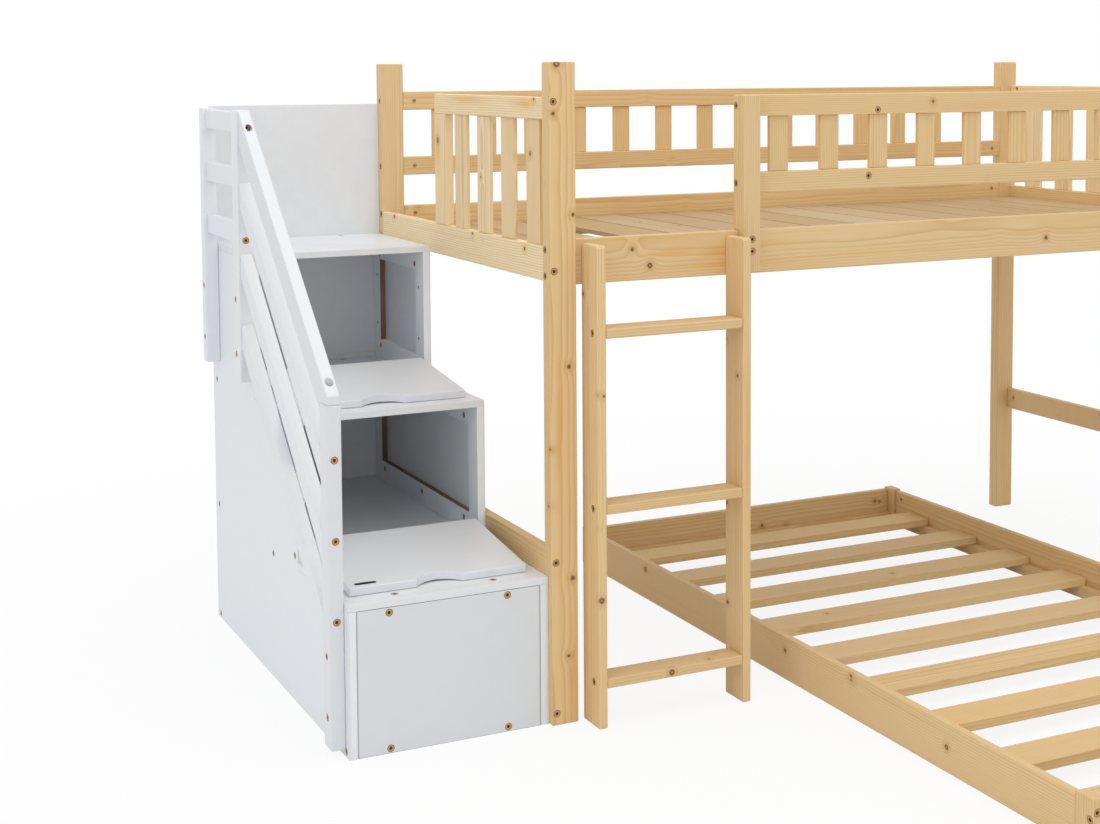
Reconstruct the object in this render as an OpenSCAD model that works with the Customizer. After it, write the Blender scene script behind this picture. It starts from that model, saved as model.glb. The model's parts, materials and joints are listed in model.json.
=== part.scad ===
// Twin bunk bed: a pine loft bed with guards and a short ladder, a white storage
// staircase with two lift-up step lids, and a low pine bed that stands crosswise
// under the loft. Millimetres, +X along the loft bed, +Y away from the viewer, +Z up.

/* [Loft bed frame] */
// Length of the loft bed over its posts
bed_l = 2028; // [1200:1:2200]
// Width of the loft bed over its posts
bed_w = 1060; // [1040:1:1300]
// Height of the corner posts
post_h = 1366; // [1330:1:1700]
// Post size along the bed
post_x = 60; // [45:1:80]
// Post size across the bed
post_y = 34; // [30:1:50]
// Thickness of every rail and guard rail
rail_t = 21; // [18:1:28]
// Height of the long side rails
side_rail_h = 94; // [80:1:110]
// Height of the side rails' lower edge above the floor
side_rail_z = 911; // [880:1:1000]
// Height of the end rails
end_rail_h = 71; // [60:1:80]
// Step of the end rails' lower edge above the side rails' lower edge
end_rail_up = 9; // [0:1:20]
// Height of the low stretchers at the two ends
stretcher_h = 60; // [50:1:90]
// Height of the stretchers' upper edge above the floor
stretcher_top = 366; // [330:1:450]

/* [Loft deck] */
// Height of the deck's upper face above the side rails' lower edge
deck_up = 46; // [42:1:60]
// Thickness of a deck slat
slat_t = 10; // [9:1:25]
// Width of a deck slat
slat_w = 130; // [70:1:150]
// Gap between two neighbouring deck slats
slat_gap = 3; // [2:1:20]
// Open break between the end rail and the first slats
slat_start = 56; // [20:1:90]
// Open break after the first slats
slat_break = 65; // [20:1:90]
// Number of slats before the break
slats_first = 2; // [1:1:4]
// Depth of the ledgers that carry the slats
ledger_d = 22; // [18:1:40]
// End clearance of a slat between the side rails
slat_clear = 2; // [1:0.5:5]

/* [Loft guards] */
// Height of the guards' upper edge above the floor
guard_top = 1295; // [1250:1:1320]
// Height of a guard rail
guard_rail_h = 46; // [40:1:60]
// Distance from the upper to the lower guard rail
guard_pitch = 166; // [130:1:200]
// Width of a baluster on the long sides
baluster_w = 48; // [30:1:60]
// Thickness of every baluster
baluster_t = 10; // [8:1:15]
// Spacing of the balusters on the long sides
baluster_pitch = 130.4; // [90:0.1:180]
// Distance from the post to the first baluster
baluster_in = 80; // [20:1:100]
// Distance from the end of the bed to the entry stile
entry_x = 450; // [440:1:700]
// Width of the entry stile
entry_w = 41; // [34:1:60]
// How far the entry stile stands out in front of the rails
entry_lap = 25; // [18:1:40]
// How far the entry stile hangs down over the side rail
entry_hang = 89; // [60:1:92]

/* [End guards] */
// Length of the end guard beside the landing
end_guard_l = 613; // [400:1:700]
// Width of an end baluster and of the end stile
end_baluster_w = 68; // [40:1:80]
// Spacing of the end balusters
end_pitch = 135; // [100:1:180]
// Distance from the post to the first end baluster
end_in = 25; // [10:1:60]

/* [Ladder] */
// Distance from the end of the bed to the ladder
ladder_x = 77; // [66:1:90]
// Width over the ladder stiles
ladder_w = 361; // [300:1:372]
// Thickness of a ladder stile
ladder_stile_t = 20; // [18:1:30]
// Depth of a ladder stile
ladder_d = 75; // [60:1:100]
// Height of the ladder stiles
ladder_h = 996; // [960:1:1004]
// Radius of the stiles' top corners
ladder_round = 8; // [2:1:20]
// Depth of a ladder tread
tread_d = 59; // [45:1:75]
// Thickness of a ladder tread
tread_t = 21; // [18:1:30]
// Height of the first tread's upper face
tread_first = 104; // [80:1:250]
// Spacing of the treads
tread_pitch = 361.5; // [250:0.5:380]
// Number of treads
tread_count = 3; // [2:1:3]

/* [Low bed] */
// Distance from the end of the loft bed to the low bed
low_x = 575; // [500:1:800]
// Width of the low bed over its side rails
low_w = 1026; // [1000:1:1100]
// Length of the low bed
low_l = 2028; // [1950:1:2150]
// Height of the low bed's rails
low_rail_h = 96; // [85:1:140]
// Thickness of the low bed's rails
low_rail_t = 18; // [16:1:24]
// Corner block size across the low bed
low_post_x = 26; // [24:1:50]
// Corner block size along the low bed
low_post_y = 47; // [40:1:80]
// How far the corner blocks stand above the rails
low_post_up = 5; // [0:1:20]
// Height of the low bed's ledgers
low_ledger_h = 30; // [20:1:40]
// Depth of the low bed's ledgers
low_ledger_d = 20; // [16:1:30]
// Width of a low slat
low_slat_w = 91; // [60:1:110]
// Thickness of a low slat
low_slat_t = 20; // [12:1:25]
// Spacing of the low slats
low_slat_pitch = 221; // [150:1:230]
// Distance from the back rail to the middle of the first low slat
low_slat_in = 148; // [60:1:200]

/* [Staircase] */
// Width of the staircase
stair_w = 430; // [400:1:520]
// Thickness of the outer wall skins
skin_t = 3; // [3:1:6]
// Thickness of the wall frames inside the skins
frame_t = 15; // [12:1:20]
// Thickness of the step boards
board_t = 15; // [12:1:20]
// Thickness of the back panel
back_t = 10; // [6:1:15]
// Height of the back panel
back_h = 1265; // [1150:1:1330]
// Thickness of the front panel
front_t = 15; // [12:1:18]
// Thickness of the bottom board
bottom_t = 18; // [12:1:20]
// Size of the square cleats under the boards
cleat = 30; // [20:1:40]
// Height of the strip along the foot of the back panel in the upper bay
strip_h = 12; // [11:1:20]
// Depth of that strip
strip_d = 8; // [6:1:16]
// Distance from the loft bed's front to the staircase's front
stair_front = 17; // [0:1:40]
// Depth of the first step
run_1 = 337; // [320:1:380]
// Depth of the second step
run_2 = 331; // [320:1:380]
// Height of the first step's upper face
rise_1 = 310; // [260:1:350]
// Rise from the first to the second step
rise_2 = 310.5; // [306:0.5:350]
// Rise from the second step to the landing
rise_3 = 314.5; // [306:0.5:330]
// Width of the wall frames' front stiles
rim_front = 54; // [40:1:70]
// Width of the wall frames' back stiles
rim_back = 50; // [40:1:70]
// Height of the wall frames' bottom rails
rim_low = 48; // [40:1:70]
// Height of the wall frames' top rails
rim_high = 46; // [40:1:70]

/* [Step lids] */
// Width of a lid
lid_w = 382; // [340:1:388]
// Length of a lid from front to back
lid_l = 282; // [250:1:284]
// Thickness of a lid
lid_t = 17; // [12:1:20]
// Offset of the lids from the middle of the staircase
lid_shift = -3; // [-3:1:3]
// Width of the finger notch
notch_w = 100; // [80:1:140]
// Depth of the finger notch
notch_d = 25; // [15:1:30]
// Length of the slot in the first lid
slot_l = 45; // [30:1:60]
// Width of the slot in the first lid
slot_w = 8; // [6:1:12]
// Distance of the slot from the lid's left edge
slot_side = 20; // [10:1:60]
// Distance of the slot from the lid's front edge
slot_in = 14; // [10:1:40]
// Border that the step boards keep beside their wells
well_rim = 26; // [20:1:40]
// Distance from the finger notch back to the well
well_front = 22; // [10:1:60]
// Distance from the batten forward to the well
well_back = 39; // [20:1:60]

/* [Hinges] */
// Height of the hinge axis above the step
hinge_up = 28; // [26:0.5:34]
// Distance from the riser to the hinge axis
hinge_in = 1.5; // [1:0.5:6]
// Length of a hinge
hinge_l = 60; // [40:1:90]
// Distance of the hinges from the middle of the staircase
hinge_off = 115; // [60:1:130]
// Outer diameter of the knuckles
knuckle_d = 8; // [7:0.5:9]
// Thickness of the hinge leaves
leaf_t = 1.5; // [1.2:0.1:1.8]
// Height of the hinge leaves
leaf_h = 18; // [12:1:20]
// Diameter of the hinge pin
pin_d = 4; // [3:0.5:5]
// Running clearance around the pin
pin_clear = 0.05; // [0.02:0.01:0.1]
// Depth of the batten under a lid's rear edge
batten_d = 18; // [14:1:30]

/* [Stair railing] */
// Newel size across the staircase
newel_x = 30; // [24:1:40]
// Newel size along the staircase
newel_y = 46; // [40:1:60]
// Distance from the loft bed's front to the newel
newel_front = 36; // [20:1:60]
// Height of the newel's foot above the floor
newel_foot = 16; // [0:1:40]
// Size of the landing stiles across the staircase
stile_x = 33; // [30:1:45]
// Size of the landing stiles along the staircase
stile_y = 46; // [30:1:55]
// How far the front landing stile stands ahead of the landing
stile_ahead = 14; // [5:1:40]
// Distance of the back landing stile from the staircase's back
stile_back_in = 39; // [10:1:80]
// Height of the landing stiles' feet
stile_z = 647; // [560:1:680]
// Height of the landing stiles' tops
stile_top = 1262; // [1150:1:1330]
// Height of a landing rail
landing_rail_h = 45; // [35:1:55]
// Thickness of a landing rail
landing_rail_t = 20; // [15:1:28]
// Spacing of the landing rails
landing_pitch = 126; // [100:1:140]
// Gap from a stile's top to its first rail
landing_drop = 4; // [0:1:20]
// Thickness of the handrail and of the slats below it
hand_x = 27; // [20:1:29]
// Depth of the handrail
hand_d = 60; // [45:1:70]
// Depth of a railing slat
rail_slat_d = 43; // [30:1:60]
// Upright spacing of the sloping rails
hand_pitch = 160.5; // [120:0.5:180]
// Number of slats below the handrail
rail_slats = 3; // [1:1:3]
// Slope of the handrail
hand_slope = 40.4; // [36:0.1:41]
// Step from the stile's top down to the handrail
hand_drop = 1; // [1:1:40]
// Length of the handrail's level underside over the newel
hand_seat = 71; // [60:1:80]

/* [Fasteners] */
// Diameter of a bolt head
head_d = 15; // [10:0.5:15.5]
// Height of a bolt head
head_h = 5; // [3:0.5:7]
// Diameter of a bolt shank
shank_d = 6.5; // [5:0.5:7]
// Size of the hexagonal socket across its corners
hex_d = 7; // [4:0.5:8]
// Depth of the hexagonal socket
hex_h = 3; // [1:0.5:4]
// How far a head lies below the surface
head_sink = 0.5; // [0.3:0.1:2]
// Clearance around shanks, heads and nuts
bore_clear = 0.25; // [0.1:0.05:0.5]
// Reach of a frame bolt past the joint
bolt_reach = 40; // [34:1:60]
// Distance from the joint to the barrel nut
nut_in = 29; // [20:1:32]
// Diameter of a barrel nut
nut_d = 10; // [9:0.5:12]
// Diameter of a small screw head
screw_d = 8; // [6:0.5:10]
// Height of a small screw head
screw_h = 3; // [2:0.5:4]
// Length of a small screw
screw_l = 12; // [8:0.5:12]
// Distance of bolts from the edges of a side rail
bolt_edge = 20; // [15:1:24]
// Height of the end rails' bolts above the rails' lower edge
end_bolt_up = 22; // [15:1:40]
// Distance of the stretchers' bolts below the stretchers' upper edge
stretcher_bolt_in = 25; // [15:1:34]
// Distance of the end guards' bolts below the guards' upper edge
end_guard_bolt_in = 9; // [8:1:12]
// Height of the bolts at the posts' feet
foot_bolt_z = 25; // [15:1:60]
// Distance of the treads' bolts from the ladder's front
tread_bolt_in = 25; // [15:1:35]
// Height of the bolts into the low bed's end rails
low_end_bolt_z = 62; // [45:1:66]
// Height of the bolts into the low bed's side rails
low_side_bolt_z = 76; // [76:1:78]
// Height of the lower bolt through the newel into the staircase
newel_bolt_low = 78; // [60:1:150]
// Height of the upper bolt through the newel into the staircase
newel_bolt_high = 201; // [180:1:270]

/* [Hidden] */
$fn = 48;
eps = 1;
pine = [0.87, 0.73, 0.52];
white = [0.90, 0.91, 0.92];
zinc = [0.62, 0.50, 0.30];

// Places of the loft bed
rail_in = post_y;
rail_out = post_y - rail_t;
rail_mid = post_y - rail_t / 2;
deck_z = side_rail_z + deck_up;
side_top = side_rail_z + side_rail_h;
end_rail_z = side_rail_z + end_rail_up;
end_top = end_rail_z + end_rail_h;
guard_low_top = guard_top - guard_pitch;
guard_under = guard_top - guard_rail_h;
baluster_set = (rail_t - baluster_t) / 2;
inner_l = bed_l - 2 * post_x;
inner_w = bed_w - 2 * post_y;
slat_step = slat_w + slat_gap;
deck_start = rail_t + slat_start;
deck_second = deck_start + slats_first * slat_step - slat_gap + slat_break;
deck_count = floor((bed_l - rail_t - deck_second) / slat_step);
guard_count = floor((inner_l - baluster_in - baluster_w) / baluster_pitch) + 1;
entry_back = entry_x + entry_w;
end_stile_y = post_y + end_guard_l - end_baluster_w;
end_left_count = floor((end_guard_l - end_baluster_w - end_in) / end_pitch);
end_right_count = floor(inner_w / end_pitch);
end_right_gap = (inner_w - end_right_count * end_baluster_w) / (end_right_count + 1);

// Places of the low bed
low_back = bed_w;
low_front = low_back - low_l;
low_inner_w = low_w - 2 * low_rail_t;
low_slat_z = low_ledger_h;
low_post_h = low_rail_h + low_post_up;
low_count = floor((low_l - 2 * low_rail_t - low_slat_in - low_slat_w / 2) / low_slat_pitch) + 1;

// Places of the staircase
wall_t = skin_t + frame_t;
stair_back_y = bed_w - back_t;
riser_1 = stair_front + run_1;
riser_2 = riser_1 + run_2;
step_1 = rise_1;
step_2 = step_1 + rise_2;
landing_z = step_2 + rise_3;
stair_mid = -stair_w / 2;
bay_w = stair_w - 2 * wall_t;

// Places of the lids, measured from their hinge axis
barrel_r = knuckle_d / 2;
leaf_set = 0.2;
lid_back = barrel_r - leaf_set;
lid_under = 5.4;
rest_gap = 0.3;
batten_gap = 2;
lid_reach = lid_back + lid_l;
lid_tilt = asin((hinge_up - rest_gap) / norm([lid_reach, lid_under])) + atan2(lid_under, lid_reach);
axis_1 = [stair_mid, riser_1 - hinge_in, step_1 + hinge_up];
axis_2 = [stair_mid, riser_2 - hinge_in, step_2 + hinge_up];
batten_low = 1.5;
batten_h = hinge_up - batten_low;
third = hinge_l / 3;
knuckle_gap = 0.5;

// Places of the railing
stile_front_y = riser_2 - stile_ahead;
stile_back_y = bed_w - stile_back_in - stile_x;
rail_mid_x = -stair_w - newel_x / 2;
slope_run = tan(hand_slope);
hand_tall = hand_d / cos(hand_slope);
slat_tall = rail_slat_d / cos(hand_slope);
hand_head = stile_top - hand_drop;
newel_back = newel_front + newel_y;
newel_top = hand_z(newel_front + hand_seat) - hand_tall;
function hand_z(y) = hand_head - slope_run * (stile_front_y - y);

// The origin is the middle of the whole object's footprint on the floor
min_x = -stair_w - stile_x;
shift = [-(min_x + bed_l) / 2, -(low_front + bed_w) / 2, 0];

// Directions in which fasteners are driven
into_right = [0, 90, 0];
into_left = [0, -90, 0];
into_back = [-90, 0, 0];
into_front = [90, 0, 0];
into_floor = [180, 0, 0];

// Heights of the bolts through a corner post into the long rails and guard rails
side_bolt_z = [side_rail_z + bolt_edge, side_top - bolt_edge];
guard_bolt_z = [guard_low_top - guard_rail_h / 2, guard_under + guard_rail_h / 2];
// Heights of the bolts through a corner post into the end rail and the stretcher
cross_bolt_z = [end_rail_z + end_bolt_up, stretcher_top - stretcher_bolt_in];
end_guard_bolt_z = guard_top - end_guard_bolt_in;

// Each fastener is a place, a direction and a length; a blind bore stops short of the far face
blind = 4;
function long_bolts(heights) = [for (z = heights) [[0, rail_mid, z], into_right, post_x + bolt_reach]];
function cross_bolts(heights) =
    [for (z = heights) [[rail_t / 2, 0, z], into_back, post_y + bolt_reach]];
foot_bolt = [[rail_t / 2, 0, foot_bolt_z], into_back, post_y - blind];

module at(p, turn) { translate(p) rotate(turn) children(); }
module moved() { translate(shift) children(); }
module box(p, s) { translate(p) cube(s); }

// A bolt with its head sunk and a hexagonal socket, driven along +Z
module bolt(len) {
    difference() {
        union() {
            translate([0, 0, head_sink]) cylinder(d = head_d, h = head_h);
            translate([0, 0, head_sink + eps]) cylinder(d = shank_d, h = len - head_sink - eps);
        }
        cylinder(d = hex_d, h = head_sink + hex_h, $fn = 6);
    }
}
module bolt_bore(len) {
    translate([0, 0, -eps]) cylinder(d = head_d + 2 * bore_clear, h = head_sink + head_h + eps);
    cylinder(d = shank_d + 2 * bore_clear, h = len + eps);
}
driver_w = 1.2;
module screw() {
    difference() {
        union() {
            translate([0, 0, head_sink]) cylinder(d = screw_d, h = screw_h);
            translate([0, 0, head_sink + eps]) cylinder(d = screw_d / 2, h = screw_l - head_sink - eps);
        }
        for (a = [0, 90]) rotate(a) box([-screw_d / 4, -driver_w / 2, 0], [screw_d / 2, driver_w, 1.6]);
    }
}
module screw_bore() {
    translate([0, 0, -eps]) cylinder(d = screw_d + 2 * bore_clear, h = head_sink + screw_h + eps);
    cylinder(d = screw_d / 2 + 2 * bore_clear, h = screw_l + eps);
}
module bolts(list) { for (b = list) at(b[0], b[1]) bolt(b[2]); }
module bores(list) { for (b = list) at(b[0], b[1]) bolt_bore(b[2]); }
module screws(list) { for (s = list) at(s[0], s[1]) screw(); }
module screw_bores(list) { for (s = list) at(s[0], s[1]) screw_bore(); }

// A barrel nut lies across a long bolt, with its slotted end at a rail's inner face
module nut(rail) {
    difference() {
        translate([0, 0, head_sink]) cylinder(d = nut_d, h = rail - blind);
        translate([-nut_d, 0, rail / 2]) rotate(into_right)
            cylinder(d = shank_d + 2 * bore_clear, h = 2 * nut_d);
        box([-nut_d, -driver_w / 2, 0], [2 * nut_d, driver_w, head_sink + driver_w]);
    }
}
module nut_bore(rail) {
    translate([0, 0, -eps]) cylinder(d = nut_d + 2 * bore_clear, h = rail - blind + head_sink + eps);
}
module long_nuts(heights) {
    for (z = heights) at([post_x + nut_in, rail_in, z], into_front) children();
}
module cross_nuts(heights) {
    for (z = heights) at([rail_t, post_y + nut_in, z], into_left) rotate(90) children();
}

// Copies of a corner's parts at the other three corners
module corner(right, back) {
    translate([right ? bed_l : 0, back ? bed_w : 0, 0])
        mirror([right ? 1 : 0, 0, 0]) mirror([0, back ? 1 : 0, 0]) children();
}
function corner_long(right, back) =
    (right || back) ? concat(side_bolt_z, guard_bolt_z) : side_bolt_z;
function corner_cross(right, back) =
    (right || !back) ? concat(cross_bolt_z, [end_guard_bolt_z]) : cross_bolt_z;

// The four corner posts
module post(right, back) {
    color(pine) moved() corner(right, back) difference() {
        cube([post_x, post_y, post_h]);
        bores(long_bolts(corner_long(right, back)));
        bores(cross_bolts(corner_cross(right, back)));
        bores([foot_bolt]);
    }
}
module post_front_left() { post(false, false); }
module post_back_left() { post(false, true); }
module post_front_right() { post(true, false); }
module post_back_right() { post(true, true); }

// A rail along the bed between two posts, bored at both ends
module long_rail(back, z, tall, heights) {
    difference() {
        corner(false, back) box([post_x, rail_out, z], [inner_l, rail_t, tall]);
        for (right = [false, true]) corner(right, back) {
            bores(long_bolts(heights));
            long_nuts(heights) nut_bore(rail_t);
        }
    }
}
module side_rail_front() {
    color(pine) moved() difference() {
        long_rail(false, side_rail_z, side_rail_h, side_bolt_z);
        bores(entry_face_bolts);
    }
}
module side_rail_back() {
    color(pine) moved() long_rail(true, side_rail_z, side_rail_h, side_bolt_z);
}

// A rail across the bed between two posts, bored at both ends
module cross_rail(right, z, tall, heights) {
    difference() {
        corner(right, false) box([0, post_y, z], [rail_t, inner_w, tall]);
        for (back = [false, true]) corner(right, back) {
            bores(cross_bolts(heights));
            cross_nuts(heights) nut_bore(rail_t);
        }
    }
}
module end_rail_left() {
    color(pine) moved() cross_rail(false, end_rail_z, end_rail_h, [cross_bolt_z[0]]);
}
module end_rail_right() {
    color(pine) moved() cross_rail(true, end_rail_z, end_rail_h, [cross_bolt_z[0]]);
}
module stretcher_left() {
    color(pine) moved() cross_rail(false, stretcher_top - stretcher_h, stretcher_h, [cross_bolt_z[1]]);
}
module stretcher_right() {
    color(pine) moved() cross_rail(true, stretcher_top - stretcher_h, stretcher_h, [cross_bolt_z[1]]);
}

// Ledgers along the side rails and the slats that lie on them
module deck_ledgers() {
    color(pine) moved() for (back = [false, true]) corner(false, back)
        box([rail_t, rail_in, side_rail_z], [bed_l - 2 * rail_t, ledger_d, deck_up - slat_t]);
}
module deck_slat(x) {
    box([x, rail_in + slat_clear, deck_z - slat_t], [slat_w, inner_w - 2 * slat_clear, slat_t]);
}
module deck_slats() {
    color(pine) moved() {
        for (i = [0 : slats_first - 1]) deck_slat(deck_start + i * slat_step);
        for (i = [0 : deck_count - 1]) deck_slat(deck_second + i * slat_step);
    }
}

// The guard along the back
module guard_rails_back() {
    color(pine) moved() for (i = [0, 1])
        long_rail(true, guard_under - i * guard_pitch, guard_rail_h, [guard_bolt_z[1 - i]]);
}
module baluster(x) {
    box([x, rail_out + baluster_set, guard_low_top], [baluster_w, baluster_t, guard_under - guard_low_top]);
}
function baluster_x(i) = post_x + baluster_in + i * baluster_pitch;
module guard_balusters_back() {
    color(pine) moved() corner(false, true)
        for (i = [0 : guard_count - 1]) baluster(baluster_x(i));
}

// The front guard starts at a stile that leaves a way in above the ladder
entry_out = rail_out - entry_lap;
entry_face_drops = [18, 44];
entry_face_bolts = [for (drop = entry_face_drops)
    [[entry_x + entry_w / 2, entry_out, side_top - drop], into_back, entry_lap + rail_t - blind]];
entry_side_bolts = [for (z = guard_bolt_z)
    [[entry_x, rail_mid, z], into_right, entry_w + bolt_reach]];

// Two bolts through the guard rails' face: distance from the stile, height in the rail
guard_face_spots = [[319, guard_under + 9], [295, guard_low_top - 17]];
guard_face_bolts = [for (s = guard_face_spots)
    [[entry_back + s[0], rail_out, s[1]], into_back, rail_t - blind]];
module entry_stile() {
    color(pine) moved() difference() {
        union() {
            box([entry_x, entry_out, side_top], [entry_w, entry_lap + rail_t, guard_top - side_top]);
            box([entry_x, entry_out, side_top - entry_hang], [entry_w, entry_lap, entry_hang]);
        }
        bores(entry_face_bolts);
        bores(entry_side_bolts);
    }
}
module guard_rails_front() {
    color(pine) moved() difference() {
        for (i = [0, 1]) box([entry_back, rail_out, guard_under - i * guard_pitch],
            [bed_l - post_x - entry_back, rail_t, guard_rail_h]);
        bores(entry_side_bolts);
        bores(guard_face_bolts);
        corner(true, false) {
            bores(long_bolts(guard_bolt_z));
            long_nuts(guard_bolt_z) nut_bore(rail_t);
        }
    }
}
module guard_balusters_front() {
    color(pine) moved() for (i = [0 : guard_count - 1])
        if (baluster_x(i) > entry_back + slat_gap) baluster(baluster_x(i));
}

// The guards at the two ends; the left one stops at the way in from the landing
module end_guard_rails() {
    color(pine) moved() {
        difference() {
            box([0, post_y, guard_under], [rail_t, end_guard_l, guard_rail_h]);
            bores(cross_bolts([end_guard_bolt_z]));
            cross_nuts([end_guard_bolt_z]) nut_bore(rail_t);
        }
        cross_rail(true, guard_under, guard_rail_h, [end_guard_bolt_z]);
    }
}
module end_stile() {
    color(pine) moved() box([0, end_stile_y, end_top], [rail_t, end_baluster_w, guard_under - end_top]);
}
module end_baluster(y) {
    box([baluster_set, y, end_top], [baluster_t, end_baluster_w, guard_under - end_top]);
}
module end_balusters() {
    color(pine) moved() {
        for (i = [0 : end_left_count]) end_baluster(post_y + end_in + i * end_pitch);
        corner(true, false) for (i = [0 : end_right_count - 1])
            end_baluster(post_y + end_right_gap + i * (end_baluster_w + end_right_gap));
    }
}

// The ladder leans nowhere: its stiles stand upright against the side rail
ladder_back = rail_out;
ladder_out = ladder_back - ladder_d;
tread_x = ladder_x + ladder_stile_t;
tread_w = ladder_w - 2 * ladder_stile_t;
tread_tops = [for (i = [0 : tread_count - 1]) tread_first + i * tread_pitch];
ladder_bolts_left = [for (z = tread_tops)
    [[ladder_x, ladder_out + tread_bolt_in, z - tread_t / 2], into_right, ladder_stile_t + bolt_reach]];
module ladder_mirrored() {
    translate([2 * ladder_x + ladder_w, 0, 0]) mirror([1, 0, 0]) children();
}
module rounded_top(w, h, r) {
    square([w, h - r]);
    translate([r, 0]) square([w - 2 * r, h]);
    for (x = [r, w - r]) translate([x, h - r]) circle(r);
}
module ladder_stile() {
    difference() {
        translate([ladder_x, ladder_out, 0]) rotate([90, 0, 90])
            linear_extrude(ladder_stile_t) rounded_top(ladder_d, ladder_h, ladder_round);
        bores(ladder_bolts_left);
    }
}
module ladder_stile_left() { color(pine) moved() ladder_stile(); }
module ladder_stile_right() { color(pine) moved() ladder_mirrored() ladder_stile(); }
module ladder_treads() {
    color(pine) moved() difference() {
        for (z = tread_tops) box([tread_x, ladder_out, z - tread_t], [tread_w, tread_d, tread_t]);
        bores(ladder_bolts_left);
        ladder_mirrored() bores(ladder_bolts_left);
    }
}

// The low bed: corner blocks with flush rails, ledgers and crosswise slats
low_mid = low_rail_t / 2;
low_end_bolt = [[0, low_mid, low_end_bolt_z], into_right, low_post_x + bolt_reach];
low_side_bolt = [[low_mid, 0, low_side_bolt_z], into_back, low_post_y + bolt_reach];
module low_corner(right, back) {
    translate([low_x + (right ? low_w : 0), back ? low_back : low_front, 0])
        mirror([right ? 1 : 0, 0, 0]) mirror([0, back ? 1 : 0, 0]) children();
}
module low_corners() {
    for (right = [false, true]) for (back = [false, true]) low_corner(right, back) children();
}
module low_nuts() {
    at([low_rail_t, low_post_y + nut_in, low_side_bolt[0][2]], into_left) rotate(90) children();
    at([low_post_x + nut_in, low_rail_t, low_end_bolt[0][2]], into_front) children();
}
module low_bored() {
    difference() {
        children();
        low_corners() {
            bores([low_end_bolt, low_side_bolt]);
            low_nuts() nut_bore(low_rail_t);
        }
    }
}
module low_side_rail(right) {
    color(pine) moved() low_bored() low_corner(right, false)
        box([0, low_post_y, 0], [low_rail_t, low_l - 2 * low_post_y, low_rail_h]);
}
module low_side_rail_left() { low_side_rail(false); }
module low_side_rail_right() { low_side_rail(true); }
module low_end_rails() {
    color(pine) moved() low_bored() for (back = [false, true]) low_corner(false, back)
        box([low_post_x, 0, 0], [low_w - 2 * low_post_x, low_rail_t, low_rail_h]);
}
module low_posts() {
    color(pine) moved() low_bored() low_corners() cube([low_post_x, low_post_y, low_post_h]);
}
module low_ledgers() {
    color(pine) moved() {
        for (right = [false, true]) low_corner(right, false)
            box([low_rail_t, low_post_y, 0], [low_ledger_d, low_l - 2 * low_post_y, low_ledger_h]);
        for (back = [false, true]) low_corner(false, back)
            box([low_post_x, low_rail_t, 0], [low_w - 2 * low_post_x, low_ledger_d, low_ledger_h]);
    }
}
module low_slats() {
    color(pine) moved() for (i = [0 : low_count - 1])
        box([low_x + low_rail_t + slat_clear,
            low_back - low_rail_t - low_slat_in - i * low_slat_pitch - low_slat_w / 2, low_slat_z],
            [low_inner_w - 2 * slat_clear, low_slat_w, low_slat_t]);
}

// The staircase walls: a stepped skin outside and a stepped frame with two windows inside
module stair_side_outline() {
    polygon([
        [stair_front, 0], [stair_back_y, 0], [stair_back_y, landing_z - board_t],
        [riser_2, landing_z - board_t], [riser_2, step_2 - board_t],
        [riser_1, step_2 - board_t], [riser_1, step_1 - board_t], [stair_front, step_1 - board_t]
    ]);
}
module window(front, low, high) {
    translate([front + rim_front, low + rim_low])
        square([stair_back_y - rim_back - front - rim_front, high - low - rim_low - rim_high]);
}
module wall_sheet(t) { rotate([90, 0, 90]) linear_extrude(t) children(); }
module stair_left(x) { translate([-stair_w + x, 0, 0]) children(); }
module stair_right(x) { translate([-x, 0, 0]) children(); }

// Bolts in the left wall's outside, and screws and bolts in the walls' inside: place from
// front to back and height, each measured from the edge that it holds
skin_spots = [
    [stair_back_y - 23, step_2 - board_t - 8], [stair_back_y - 23, step_1 - board_t - 8],
    [stair_back_y - 16, bottom_t - 7], [riser_1 + 189, step_1 - 27], [riser_1 + 20, step_1 + 10],
    [stair_front + 18, 12]
];
wall_bolts = [for (s = skin_spots) [[-stair_w, s[0], s[1]], into_right, wall_t - blind / 2]];
inner_spots = [
    [stair_back_y - 28, step_2 + 89], [stair_back_y - 28, landing_z - 102],
    [riser_2 + 36, step_2 + 89], [riser_2 + 36, landing_z - 102],
    [stair_back_y - 49, landing_z - 53]
];
inner_screws = [for (s = inner_spots) [[-wall_t, s[0], s[1]], into_right, screw_l]];
inner_bolt_spots = [
    [riser_2 + 61, landing_z - 48], [stair_back_y - 49, step_2 + 34],
    [stair_back_y - 68, step_1 + 30], [riser_1 + 359, step_1 + 30],
    [riser_1 + 86, step_1 + 30], [riser_1 + 80, step_2 - 46]
];
inner_bolts = [for (s = inner_bolt_spots) [[-wall_t, s[0], s[1]], into_right, frame_t - blind / 2]];
stile_bolt_rises = [61, 186];
stile_bolt_in = 13;
stile_bolt_rows = [stile_front_y + stile_y - stile_bolt_in, stile_back_y + stile_x / 2];
stile_bolts = [for (y = stile_bolt_rows) for (up = stile_bolt_rises)
    [[-stair_w - stile_x, y, stile_z + up], into_right, stile_x + wall_t - blind / 2]];
newel_wall_bolts = [for (z = [newel_bolt_low, newel_bolt_high])
    [[-stair_w - newel_x, newel_front + newel_y / 2, z], into_right, newel_x + wall_t - blind / 2]];
module stair_wall_bores() {
    bores(wall_bolts);
    bores(stile_bolts);
    bores(newel_wall_bolts);
}
module inner_bores() {
    screw_bores(inner_screws);
    bores(inner_bolts);
}
module frame_outline() {
    difference() {
        stair_side_outline();
        window(riser_1, step_1, step_2 - board_t);
        window(riser_2, step_2, landing_z - board_t);
    }
}
module stair_skin_left() {
    color(white) moved() difference() {
        stair_left(0) wall_sheet(skin_t) stair_side_outline();
        stair_wall_bores();
    }
}
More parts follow.
